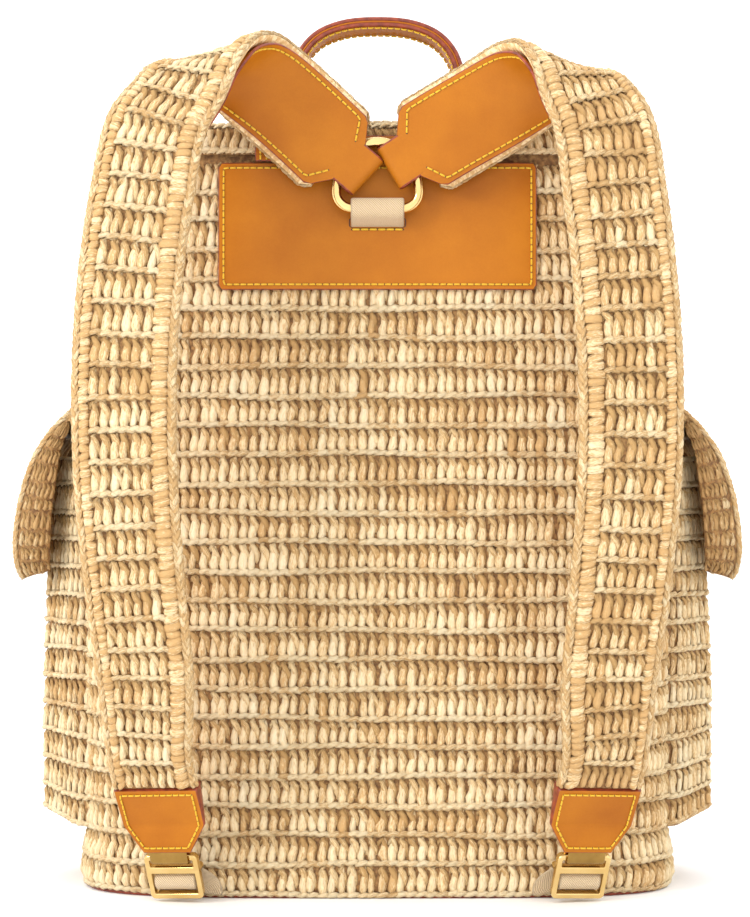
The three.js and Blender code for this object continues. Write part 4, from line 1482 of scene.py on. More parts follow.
@dataclass
class Band:
    """A strip with rounded edges, through centres with a direction across each."""

    centres: Array
    across: Array
    widths: Array | float
    thickness: Array | float
    flat: int = 9
    arc: int = 4

    def add_to(self, skein: Skein, edge: int = 0, face: int = 0) -> None:
        """Adds the strip to a mesh.

        Args:
            skein: The mesh.
            edge: Material place of the edges.
            face: Material place of the faces.
        """
        centres = self.centres
        along = unit(np.gradient(centres, axis=0))
        across = np.broadcast_to(self.across, centres.shape)
        off = unit(np.cross(along, across))
        across = unit(np.cross(off, along))
        w = np.broadcast_to(np.asarray(self.widths, float), len(centres))[:, None]
        t = np.broadcast_to(np.asarray(self.thickness, float), len(centres))[:, None]
        span = np.linspace(1, -1, self.flat)[None]
        flat = span * (w / 2 - t / 2)
        turn = (np.arange(1, self.arc) / self.arc * np.pi)[None]
        bend_a, bend_n = np.sin(turn) * t / 2, np.cos(turn) * t / 2
        one = np.ones_like(flat)
        a = np.concatenate([flat, flat[:, -1:] - bend_a, -flat, -flat[:, -1:] + bend_a], axis=1)
        n = np.concatenate([one * t / 2, bend_n, -one * t / 2, -bend_n], axis=1)
        rings = (centres[:, None] + across[:, None] * a[..., None] + off[:, None] * n[..., None])
        sides = rings.shape[1]
        coat = np.full(sides, face)
        coat[self.flat - 1 : self.flat + self.arc - 1] = edge
        coat[2 * self.flat + self.arc - 2 : sides] = edge
        shift = self.arc // 2
        girth = 2.0 * sides / (2 * self.flat) * float(np.mean(w))
        skein.loft(
            np.roll(rings, shift, axis=1), coat=np.roll(coat, shift), end_coat=edge, girth=girth
        )


@dataclass
class RingAndKeeper:
    """Gold D-ring, and the webbing that ties it to the patch."""

    tub: Tub
    width: float = 51.4
    height: float = 42.2
    wire: float = 5.0
    corner: float = 9.0
    below_rim: float = 47.0
    stand_off: float = 10.0
    keeper_width: float = 30.0
    keeper_thickness: float = 1.8
    keeper_rise: float = 5.0
    keeper_gap: float = 1.0

    @property
    def foot(self) -> float:
        """Height of the ring's lower edge."""
        return self.tub.height - self.below_rim

    @property
    def bar(self) -> float:
        """Height of the straight bar's middle."""
        return self.foot + self.wire / 2

    @property
    def middle(self) -> float:
        """Height of the ring's middle."""
        return self.foot + self.height / 2

    @property
    def y(self) -> float:
        """Place of the ring's plane."""
        back = float(self.tub.face_depth(0.0, self.foot, 0.0))
        return -(back + GAPS.seam + GAPS.leather + self.stand_off - 1)

    def ring(self, finishes: Finishes) -> None:
        """Makes the ring."""
        reach = (self.width - self.wire) / 2
        shoulder = self.bar + self.corner
        bow = self.height - self.wire - self.corner
        path = []
        for angle in np.linspace(0, np.pi, 41):
            path.append((reach * math.cos(angle), shoulder + bow * math.sin(angle)))
        for sign, start in ((-1, np.pi), (1, 1.5 * np.pi)):
            for k in range(1, 13):
                angle = start + np.pi / 2 * k / 12
                x = sign * (reach - self.corner) + self.corner * math.cos(angle)
                path.append((x, shoulder + self.corner * math.sin(angle)))
        line = np.array([(x, self.y, z) for x, z in path[:-1]])
        ahead = unit(np.roll(line, -1, axis=0) - np.roll(line, 1, axis=0))
        outward = np.cross(ahead, np.array([0.0, 1.0, 0.0]))
        angle = circle(18)
        rings = line[:, None] + (self.wire / 2 + 0.35) * (
            outward[:, None] * np.cos(angle)[None, :, None]
            + np.array([0.0, 1.0, 0.0]) * np.sin(angle)[None, :, None]
        )
        skein = Skein("d_ring_gold")
        skein.tubes(rings[None, ::-1], loop=True)
        skein.piece([finishes.gold], "gold", ["d_ring"])

    def keeper(self, finishes: Finishes) -> None:
        """Makes the webbing loop, and the slot that it leaves the patch by, a near-black ring that
        is painted shade.
        """
        slot = self.bar - self.keeper_rise - self.keeper_thickness / 2 - 1.5
        half = self.wire / 2 + GAPS.seam + self.keeper_thickness / 2
        ply = (self.keeper_gap + self.keeper_thickness) / 2
        tail = -(float(self.tub.face_depth(0.0, slot, 0.0)) + GAPS.seam)
        front = tail - GAPS.leather - 1
        path = [(tail, slot - ply), (front, slot - ply)]
        for degrees in range(-60, 211, 30):
            a = math.radians(degrees)
            path.append((self.y - half * math.cos(a), self.bar + self.keeper_rise * math.sin(a)))
        path += [(front, slot + ply), (tail, slot + ply)]
        keys = np.array([(0.0, y, z) for y, z in path])
        centres = curve_through(keys, np.linspace(0, 1, 70))
        skein = Skein("keeper_webbing")
        band = Band(centres, np.array([1.0, 0.0, 0.0]), self.keeper_width, self.keeper_thickness)
        band.add_to(skein)
        skein.piece([finishes.tape], "webbing", ["ring_keeper"])
        lip = Skein("keeper_slot")
        back = -float(self.tub.face_depth(0.0, slot, 0.0)) - GAPS.seam - 0.5 - GAPS.leather
        w, h = self.keeper_width / 2 + 1.2, ply + self.keeper_thickness / 2 + 0.9
        rings = []
        for scale, lift in ((1.0, 0.3), (1.0, -0.12), (0.93, -0.2), (0.9, 0.4)):
            a = np.linspace(0, 2 * np.pi, 33)[:-1] + 0.01
            x = np.sign(np.cos(a)) * np.abs(np.cos(a)) ** 0.25 * w * mix(1.0, scale, 0.5)
            z = slot + np.sign(np.sin(a)) * np.abs(np.sin(a)) ** 0.4 * h * scale
            rings.append(np.stack([x, np.full_like(x, back + lift), z], -1))
        lip.loft(np.stack(rings))
        lip.piece([finishes.hole], "leather")


@dataclass
class CarryHandle:
    """Two plies of leather in a flat arch, sewn to the flap at both feet."""

    tub: Tub
    flap: TopFlap
    span: float = 112.0
    rise: float = 59.0
    width: float = 22.0
    thickness: float = 6.0
    foot: float = 26.0
    lean: float = 7.0
    flap_half: float = 149.5
    arch: tuple[tuple[float, float], ...] = (
        (1, 0),
        (0.93, 0.06),
        (0.88, 0.2),
        (0.84, 0.45),
        (0.76, 0.68),
        (0.6, 0.86),
        (0.34, 0.97),
        (0, 1),
    )

    def centres(self) -> tuple[Array, Array, Array]:
        """Middle line, direction across and thickness, from foot to foot."""
        rim = self.tub.height
        y = -float(self.tub.face_depth(0.0, rim, 0.0)) + self.width

        def seat(x: float) -> float:
            """Height of the flap under the handle."""
            share = x / self.flap_half
            along = y / float(self.tub.face_depth(x, rim, GAPS.seam))
            dome = self.flap.crown * (1 - share**2) * (1 - along**2)
            return rim + GAPS.seam + dome + GAPS.woven + GAPS.seam

        half = self.span / 2
        sole = GAPS.leather * 1.5
        base = seat(half) + sole / 2 + 1
        path = [(half + self.foot, seat(half) + sole / 2 + 0.2, sole)]
        for across, up in self.arch:
            height = base + up * (self.rise - self.thickness)
            path.append((across * half, height, mix(sole, self.thickness, min(up * 4, 1))))
        path += [(-x, z, t) for x, z, t in path[-2::-1]]
        table = curve_through(np.array(path, float), np.linspace(0, 1, 66))
        lean = math.radians(self.lean) * np.clip((table[:, 1] - base) / 20, 0, 1)
        across = np.stack([0 * lean, np.cos(lean), -np.sin(lean)], -1)
        line = np.stack([table[:, 0], 0 * lean + y, table[:, 1]], -1)
        return line, across, table[:, 2]

    def make(self, finishes: Finishes) -> None:
        """Makes the plies, the pale line between them and the seams."""
        line, across, thickness = self.centres()
        along = unit(np.gradient(line, axis=0))
        off = unit(np.cross(along, across))
        if off[len(off) // 2, 2] < 0:
            off = -off
        skein = Skein("carry_handle_leather")
        quarter = (thickness * 0.26)[:, None]
        for sign in (-1, 1):
            ply = Band(line + sign * off * quarter, across, self.width, thickness * 0.44)
            ply.add_to(skein, Coat.EDGE.value)
        Band(line, across, self.width - 0.8, thickness * 0.2).add_to(skein)
        skein.piece([finishes.leather, finishes.edge], "leather", ["carry_handle"])
        seam = Seam("carry_handle_seam", pitch=3.8)
        inner = slice(7, -7)
        for sign in (-1, 1):
            at = line + across * sign * (self.width / 2 - 2.6) - off * (thickness * 0.48)[:, None]
            seam.sew(at[inner], -off[inner])
            self.sew_foot(seam, line, across, off, thickness, sign)
        seam.piece(finishes)

    def sew_foot(
        self, seam: Seam, line: Array, across: Array, off: Array, thickness: Array, sign: int
    ) -> None:
        """Sews one foot down, round three sides.

        Args:
            seam: The handle's seam.
            line: Middle line of the handle.
            across: Direction across at each point.
            off: Direction upward at each point.
            thickness: Thickness at each point.
            sign: The foot's end: -1 or 1 along X.
        """
        end = 0 if sign > 0 else -1
        tip = line[end] + off[end] * thickness[end] * 0.48
        inward = np.array([-float(sign), 0.0, 0.0])
        half = self.width / 2 - 2.8
        corners = [
            tip + inward * run + across[end] * half * hand
            for run, hand in ((self.foot - 6, -1), (2.8, -1), (2.8, 1), (self.foot - 6, 1))
        ]
        path = np.concatenate(
            [a + (b - a) * np.linspace(0, 1, 20)[:, None] for a, b in zip(corners, corners[1:])]
        )
        seam.sew(path, np.broadcast_to(off[end], path.shape))


@dataclass
class Fastening:
    """Place of a strap's foot, with its leather tab, gold buckle and webbing."""

    side: Side
    tub: Tub
    reach: float = 111.5
    stand_off: float = 10.0
    tilt: float = 24.0
    turn: float = 14.0
    lean: float = 0.14
    buckle_width: float = 31.0
    buckle_height: float = 28.4
    buckle_depth: float = 5.0
    frame_bar: float = 3.0
    bars: tuple[float, ...] = (3.4, 16.4, 20.9, 25.0)
    tab_length: float = 46.0
    tongue: float = 22.0
    tail: float = 8.0
    strap_end: float = 48.0
    tape_width: float = 23.8
    rear_height: float = 16.8
    rear_depth: float = 6.6
    rear_size: float = 2.4
    total: float = 10.4
    tab_gap: float = 5.0
    seam_inset: float = 3.2

    def __post_init__(self) -> None:
        """Works out the directions of the foot."""
        s = self.side.value
        tilt, turn = math.radians(self.tilt), math.radians(self.turn)
        self.up = unit(np.array([s * self.lean, -math.sin(tilt), math.cos(tilt)]))
        out = np.array([s * math.sin(turn), -math.cos(turn), 0.0])
        self.across = unit(np.cross(self.up, out)) * -s
        self.front = unit(np.cross(self.across, self.up)) * -s
        floor = self.tub.levels[0] * self.tub.height
        y = -self.tub.depth / 2 - self.stand_off
        self.origin = np.array([s * self.reach, y, floor])

    @property
    def tab_top(self) -> float:
        """Distance from the foot to the tab's upper edge."""
        return self.buckle_height + self.tab_length - 1.6

    def place(self, v: Array | float, depth: Array | float, x: Array | float = 0.0) -> Array:
        """Point at a distance up, toward the front and across."""
        v, depth, x = (np.asarray(value, float)[..., None] for value in (v, depth, x))
        return self.origin + self.up * v + self.front * depth + self.across * x

    def tab(self, finishes: Finishes) -> None:
        """Makes the tab, its seam and the link that joins it to the buckle's top bar, in a darker
        gold that is painted shade.
        """
        middle = (self.bars[3] + self.buckle_height) / 2
        ply = self.buckle_depth / 2 + GAPS.leather / 2 + 0.5
        rise = self.tab_top - middle
        keys = np.array([0.0, 3 / rise, 0.24, 0.46, 0.7, 1.0])
        widths = [24.0, 24.6, 35.0, 47.4, self.strap_end, self.strap_end]
        depths = [ply, ply, ply * 0.6, 0.2, 0.0, 0.0]
        thick = [2.0, 2.0, 2.4, 3.2, self.total * 0.6, self.total]

        def at(z: Array, values: Sequence[float]) -> Array:
            """Value at a distance up the tab."""
            return np.interp((z - middle) / rise, keys, values)

        def place(x: Array, z: Array, lift: Array) -> Array:
            """Point of the tab; lift 0 is its back and 2 its front."""
            t = at(z, thick)
            n = at(z, depths) + np.where(lift <= 2, (lift / 2 - 0.5) * t, t / 2 + lift - 2)
            return self.place(z, n, x)

        def outline(z: Array) -> tuple[Array, Array]:
            """Left and right edge."""
            half = at(z, widths) / 2
            return -half, half

        name = self.side.label
        low = middle + self.tab_gap
        tab = LeatherSheet(f"end_tab_leather_{name}", place, outline, low, self.tab_top)
        tab.make(finishes, [f"end_tab_{name}"])
        seam = Seam(f"end_tab_seam_{name}", pitch=3.7)
        high = self.tab_top - 3.4
        heights = np.array([low + self.seam_inset, middle + 0.27 * rise, middle + 0.46 * rise, high])
        right = np.array([(at(z, widths) / 2 - self.seam_inset, z) for z in heights])
        left = right[::-1] * [-1, 1]
        tab.sew(seam, np.concatenate([right, left, right[:1]]))
        seam.piece(finishes)
        fold = Skein(f"buckle_link_{name}")
        half_bar = (self.buckle_height - self.bars[3]) / 2
        bend = half_bar + GAPS.leather / 2 + 0.5
        turn = np.radians(np.linspace(180, 360, 19))
        path = [(middle + self.tail, -ply)]
        path += [(middle + bend * math.sin(a), ply * math.cos(a)) for a in turn]
        path += [(middle + 1.5, ply), (low + 2.0, ply * 0.8)]
        line = np.array([self.place(v, d) for v, d in path])
        Band(line, self.across, self.tongue, GAPS.leather).add_to(fold)
        fold.piece([finishes.shaded_gold], "gold")

    def buckle(self, finishes: Finishes) -> None:
        """Makes the bevelled frame with two openings, and its rear bar."""
        bevel = 0.9
        half = self.buckle_width / 2 - bevel
        inner = self.buckle_width / 2 - self.frame_bar + bevel

        outlines = [
            corners(bevel, self.buckle_height - bevel, half, 2.0),
            corners(self.bars[0] - bevel, self.bars[1] + bevel, inner, 1.2),
            corners(self.bars[2] - bevel, self.bars[3] + bevel, inner, 1.2),
        ]
        curve = bpy.data.curves.new("buckle_outline", "CURVE")
        curve.dimensions = "2D"
        curve.fill_mode = "BOTH"
        curve.extrude = self.buckle_depth / 2 - bevel
        curve.bevel_depth = bevel
        curve.bevel_resolution = 3
        for points in outlines:
            spline = curve.splines.new("POLY")
            spline.points.add(len(points) - 1)
            for target, (x, y) in zip(spline.points, points):
                target.co = (x, y, 0, 1)
            spline.use_cyclic_u = True
        holder = bpy.data.objects.new("buckle_outline", curve)
        bpy.context.scene.collection.objects.link(holder)
        bpy.context.view_layer.update()
        mesh = bpy.data.meshes.new_from_object(
            holder.evaluated_get(bpy.context.evaluated_depsgraph_get())
        )
        bpy.data.objects.remove(holder)
        name = f"buckle_gold_{self.side.label}"
        mesh.name = name
        co = np.zeros(len(mesh.vertices) * 3)
        mesh.vertices.foreach_get("co", co)
        x, y, z = co.reshape(-1, 3).T
        right = np.cross(self.up, self.front)
        at = self.origin + np.outer(y, self.up) + np.outer(z, self.front) + np.outer(x, right)
        at = (at + [0, TUB_SHIFT, 0]) * METRE
        mesh.vertices.foreach_set("co", at.ravel())
        mesh.update()
        mesh.materials.clear()
        mesh.materials.append(finishes.gold)
        made = bpy.data.objects.new(name, mesh)
        bpy.context.scene.collection.objects.link(made)
        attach(made, "root")
        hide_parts(f"buckle_{self.side.label}")
        LOG.info("%s: %d faces", name, len(mesh.polygons))
        self.rear_bar(finishes)

    def rear_bar(self, finishes: Finishes) -> None:
        """Makes the bar behind the frame and its two ears."""
        skein = Skein(f"buckle_rear_bar_{self.side.label}")
        x = np.linspace(-1, 1, 9) * (self.buckle_width / 2 - self.frame_bar / 2)
        rod = self.place(np.full_like(x, self.rear_height), np.full_like(x, -self.rear_depth), x)
        Band(rod, self.up, self.rear_size, self.rear_size * 0.98, 3, 6).add_to(skein)
        depth = np.linspace(-self.rear_depth - 1.0, -0.8, 6)
        for sign in (-1, 1):
            at = np.full_like(depth, sign * (self.buckle_width / 2 - self.frame_bar / 2))
            line = self.place(np.full_like(depth, self.rear_height), depth, at)
            Band(line, self.up, self.rear_size * 1.6, self.frame_bar * 0.75, 3).add_to(skein)
        skein.piece([finishes.gold], "gold")

    def adjuster(self, finishes: Finishes) -> None:
        """Makes the webbing from the base seam, round the rear bar and over the main bars."""
        s = self.side.value
        turn = self.rear_size * 0.7 + GAPS.tape / 2 + GAPS.seam
        bar = self.buckle_depth / 2 + GAPS.tape / 2 + 0.5
        middle = self.reach - self.tape_width / 2
        centres, across = [], []
        z0 = self.tub.levels[0] * self.tub.height
        low, high = z0 + 0.6, self.tub.levels[1] * self.tub.height - 2
        for z, lift in ((low, GAPS.seam * 2), (high, GAPS.seam * 4)):
            ends = []
            for share in (-0.5, 0.5):
                x = middle + share * self.tape_width
                y = -float(self.tub.face_depth(x, z, GAPS.tape / 2 + lift))
                ends.append(np.array([s * x, y, z]))
            centres.append((ends[0] + ends[1]) / 2)
            across.append(unit(ends[0] - ends[1]))
        window = self.bars[1] - self.bars[0]
        local = [(self.bars[1] * 0.7, -self.rear_depth - turn - 0.6)]
        for degrees in range(180, -1, -30):
            a = math.radians(degrees)
            local.append(
                (self.rear_height + turn * math.sin(a), -self.rear_depth + turn * math.cos(a))
            )
        local += [
            (self.bars[1] - window * 0.08, -bar),
            (self.bars[1] - window * 0.26, 0.9),
            (self.bars[1] - window * 0.5, 2.1),
            (self.bars[0] + window * 0.26, 0.9),
            (self.bars[0] + window * 0.02, -bar),
            (self.bars[0] * 0.3, -bar),
        ]
        centres += [self.place(v, d) for v, d in local]
        across += [self.across] * len(local)
        places = np.linspace(0, 1, 110)
        line = curve_through(np.array(centres), places)
        wide = curve_through(np.array(across), places)
        skein = Skein(f"adjuster_webbing_{self.side.label}")
        Band(line, wide, self.tape_width, GAPS.tape).add_to(skein)
        skein.piece([finishes.tape], "webbing", [f"adjuster_{self.side.label}"])


# Columns: across, out, height and width as shares of the strap's spread and bow, the tub's
# height and the strap's width, then roll and turn in degrees.
LOWER_ROUTE = (
    (0.978, 0.956, 0.795, 1, -5, 8),
    (1, 0.989, 0.668, 1, -2, 8),
    (0.993, 0.978, 0.541, 0.99, 0, 8),
    (0.963, 0.878, 0.415, 0.97, 2, 9),
    (0.93, 0.722, 0.3, 0.94, 3, 11),
)
LEFT_ROUTE = (
    (0.304, 0.126, 1.01, 1, 44, 0),
    (0.444, 0.156, 1.048, 1, 43, 3),
    (0.541, 0.233, 1.07, 1, 36, 14),
    (0.637, 0.378, 1.08, 1, 20, 22),
    (0.733, 0.567, 1.064, 1, 5, 20),
    (0.807, 0.7, 1.026, 1, -3, 15),
    (0.881, 0.8, 0.986, 1, -6, 12),
    (0.933, 0.889, 0.903, 1, -7, 9),
    *LOWER_ROUTE,
)
RIGHT_ROUTE = (
    (0.296, 0.126, 0.996, 1, 56, 0),
    (0.474, 0.156, 1.028, 1, 55, 3),
    (0.607, 0.233, 1.053, 1, 46, 14),
    (0.711, 0.378, 1.067, 1, 28, 24),
    (0.793, 0.567, 1.058, 1, 9, 22),
    (0.848, 0.7, 1.026, 1, -1, 16),
    (0.904, 0.8, 0.986, 1, -5, 12),
    (0.941, 0.889, 0.903, 1, -7, 9),
    *LOWER_ROUTE,
)


@dataclass(frozen=True)
class Fold:
    """Where a strap folds round the ring, as shares of the ring, and how it goes on."""

    across: float
    up: float
    slope: float
    route: tuple[tuple[float, ...], ...]


FOLDS = {
    Side.LEFT: Fold(0.1, -0.045, 40.0, LEFT_ROUTE),
    Side.RIGHT: Fold(0.117, 0.071, 33.0, RIGHT_ROUTE),
}


@dataclass
class Strap:
    """Shoulder strap: crochet outside, leather inside, folded round the ring."""

    side: Side
    tub: Tub
    ring: RingAndKeeper
    foot: Fastening
    bend: Fold
    width: float = 56.0
    woven: float = 8.0
    spread: float = 135.0
    bow: float = 90.0
    shoulder: float = 21.0
    loop_width: float = 26.5
    loop_tail: float = 22.0
    reveal: float = 2.5
    outer_edge: float = 9.4
    inner_edge: float = 13.4
    woven_corner: float = 0.42
    lining_start: float = -7.0
    lining_shoulder: float = 9.0
    seam_inset: float = 3.3

    def __post_init__(self) -> None:
        """Works out the strap's middle line and its directions."""
        s = self.side.value
        angle = math.radians(self.bend.slope)
        self.pull = np.array([s * math.cos(angle), 0.0, math.sin(angle)])
        self.total = self.woven + GAPS.seam + GAPS.leather
        self.ply = self.ring.wire / 2 + GAPS.leather / 2 + 0.5
        x = s * self.bend.across * self.ring.width
        z = self.ring.middle + self.bend.up * self.ring.height
        self.fold = np.array([x, 0.0, z])
        start = self.fold + self.pull * self.shoulder
        start[1] = self.ring.y - self.ply + self.total / 2 - GAPS.leather / 2
        keys, lies = [start], [(90 - self.bend.slope, 0.0, 1.0)]
        for across, out, height, wide, roll, turn in self.bend.route:
            y = -self.tub.depth / 2 - out * self.bow
            keys.append(np.array([s * across * self.spread, y, height * self.tub.height]))
            lies.append((roll, turn, wide))
        foot = self.foot
        roll = math.degrees(math.asin(foot.across[2]))
        for above in (self.shoulder, 0.0):
            keys.append(foot.place(foot.tab_top + GAPS.seam + above, 0.0))
            lies.append((roll, foot.turn, foot.strap_end / self.width))
        places = np.linspace(0, 1, 900)
        centres = curve_through(np.array(keys), places)
        lie = curve_through(np.array(lies, float), places)
        length = arc_lengths(centres)
        self.length = length[-1]
        even = np.linspace(0, self.length, 420)
        self.centres = at_lengths(even, length, centres)
        roll, turn, wide = at_lengths(even, length, lie).T
        roll, turn = np.radians(roll), np.radians(turn)
        self.widths = wide * self.width
        rough = np.stack(
            [-s * np.cos(turn) * np.cos(roll), -np.sin(turn), np.cos(turn) * np.sin(roll)], -1
        )
        along = unit(np.gradient(self.centres, axis=0))
        along[-1] = -foot.up
        self.out = unit(np.cross(along, rough)) * -s
        self.across = unit(np.cross(self.out, along))
        flip = np.sum(self.across * rough, axis=1, keepdims=True) < 0
        self.across = np.where(flip, -self.across, self.across)
        self.even = even

    def at(self, distance: Array, a: Array, n: Array) -> Array:
        """Point at a distance along, across and outward; straight on before the start."""
        before = np.minimum(distance, 0.0)[..., None]
        d = np.maximum(distance, 0.0)
        centre, across, out = (
            at_lengths(d, self.even, table) for table in (self.centres, self.across, self.out)
        )
        return centre + before * self.pull + across * a[..., None] + out * n[..., None]

    def half_width(self, distance: Array) -> Array:
        """Half width of the woven layer, with its shoulder near the ring."""
        full = np.interp(distance, self.even, self.widths) / 2
        return np.minimum(full, self.width * self.woven_corner + distance)

    def outer_sheet(self, rise: float, rows: int = 260) -> Sheet:
        """Sheet of the woven face, from the tab up, with its edges rolled down."""
        share = np.linspace(-1, 1, 57)
        distance = np.linspace(self.length, 0, rows)[:, None] + 0 * share
        shift = (self.total - self.woven) / 2
        n = shift + rise * np.sqrt(np.maximum(1 - np.abs(share) ** 8, 0)) + 0 * distance
        points = self.at(distance, share * self.half_width(distance), n)
        behind = self.at(np.array([self.length * 0.6]), np.array([0.0]), np.array([-60.0]))[0]
        return Sheet(points, behind)

    def core(self, finishes: Finishes) -> None:
        """Makes the body of the strap behind the stitches."""
        share = np.linspace(-0.985, 0.985, 15)
        bulge = np.sqrt(1 - np.abs(share) ** 8)
        a = np.concatenate([share, share[::-1]])
        n = np.concatenate([bulge * 2.4, -bulge * 3.6])
        distance = np.linspace(0, self.length, 100)[:, None] + 0 * a
        shift = (self.total - self.woven) / 2
        rings = self.at(distance, a * self.half_width(distance), shift + n + 0 * distance)
        skein = Skein(f"strap_core_{self.side.label}")
        # The outer half takes the painted-shade ground, for the shadow between the stitches; the
        # inner half and the ends take pale straw.
        coat = np.arange(30) >= 14
        if self.side is Side.RIGHT:
            rings, coat = rings[:, ::-1], np.roll(coat[::-1], -1)
        skein.loft(rings, coat=coat.astype(int), end_coat=1)
        skein.piece([finishes.ground, finishes.chain], "straw", [f"strap_{self.side.label}"])

    def weave(self, finishes: Finishes) -> None:
        """Makes the strap's stitches, edge cords and braids."""
        name = self.side.label
        sheet = self.outer_sheet(2.6)
        behind = [f"strap_{name}"]
        ends = np.abs(sheet.points[len(sheet.points) // 2, [0, -1], 0])
        slim, full = self.outer_edge, self.inner_edge
        low_end, high_end = (slim, full) if ends[0] > ends[1] else (full, slim)
        Crochet(
            f"strap_{name}",
            sheet,
            31 + self.side.value,
            Detail.NEAR,
            rise=17.2,
            depth=0.9,
            span=(low_end, sheet.width - high_end),
            columns=6,
            sway=0.35,
            # Painted light: the right strap is given darker stitches than the left, as the lamp
            # falls from the left.
            shade=0.56 + 0.08 * self.side.value,
            edges=(1.0,),
        ).dress(finishes, behind)
        edge = Skein(f"strap_edges_{name}")
        for low in (True, False):
            def line(offset: float, low: bool = low) -> Callable[[Array], Array]:
                """Place across of a line near one edge."""
                u = offset if low else sheet.width - offset
                return lambda v: np.full_like(v, u)

            room = low_end if low else high_end
            half = (room - 4.2) / 2
            cord = Cord(sheet, half, 3.0, 4.3, 0.6, seed=41 + int(low), base=-1.2)
            cord.wraps(edge, line(4.0 + half), (3.4, sheet.height - 1.5))
            braid = Cord(sheet, 2.1, 1.9, 4.6, seed=51 + int(low), base=-0.7)
            braid.braid(edge, line(2.3), (3.4, sheet.height - 1.5))
            rim = Cord(sheet, 2.0, 1.5, 4.6, seed=55 + int(low), base=-1.0)
            rim.braid(edge, line(0.3), (3.4, sheet.height - 1.5))
        edge.piece([finishes.chain], "straw", behind)

    def lining(self, finishes: Finishes) -> None:
        """Makes the leather inside, its loop round the ring and its seams."""
        name = self.side.label
        inner = -(self.total - GAPS.leather) / 2 + GAPS.leather / 2
        start = self.lining_start
        broad = start + self.lining_shoulder

        def place(x: Array, z: Array, lift: Array) -> Array:
            """Point of the leather; lift 0 lies on the strap."""
            return self.at(z, x, inner - lift)

        def outline(z: Array) -> tuple[Array, Array]:
            """Left and right edge, with a shoulder near the ring."""
            full = np.interp(z, self.even, self.widths) / 2 - self.reveal
            half = np.interp(z, [start, broad], [self.loop_width / 2, full[0]])
            half = np.where(z > broad, full, half)
            return -half, half

        sheet = LeatherSheet(
            f"strap_leather_{name}", place, outline, start, self.length - 1, columns=10, levels=150
        )
        sheet.make(finishes, [f"strap_lining_{name}"])
        seam = Seam(f"strap_seam_{name}")
        full = self.width / 2 - self.reveal - self.seam_inset
        near = broad + 1.5
        end = self.length - 4
        tapered = self.foot.strap_end / 2 - self.reveal - self.seam_inset
        runs = np.array([(near + 2, full), (self.length * 0.75, full), (end, tapered)])
        right = np.concatenate([[(11.0, near - 5.0)], runs[:, ::-1]])
        sheet.sew(seam, right)
        sheet.sew(seam, right * [-1, 1])
        seam.piece(finishes)
        self.loop(finishes)

    def loop(self, finishes: Finishes) -> None:
        """Makes the tongue that folds round the ring and back."""
        radius = self.ply
        centre = radius + GAPS.leather / 2
        keys = [(self.loop_tail, radius), (centre + 6, radius)]
        for degrees in range(90, -91, -15):
            a = math.radians(degrees)
            keys.append((centre - radius * math.cos(a), radius * math.sin(a)))
        keys += [(centre + 6, -radius), (self.shoulder - 4, -radius)]
        line = []
        for run, depth in keys:
            at = self.fold + self.pull * run
            at[1] = self.ring.y + depth
            line.append(at)
        table = curve_through(np.array(line), np.linspace(0, 1, 80))
        skein = Skein(f"strap_loop_{self.side.label}")
        band = Band(table, self.across[0], self.loop_width, GAPS.leather)
        band.add_to(skein, Coat.EDGE.value)
        skein.piece([finishes.leather, finishes.edge], "leather")


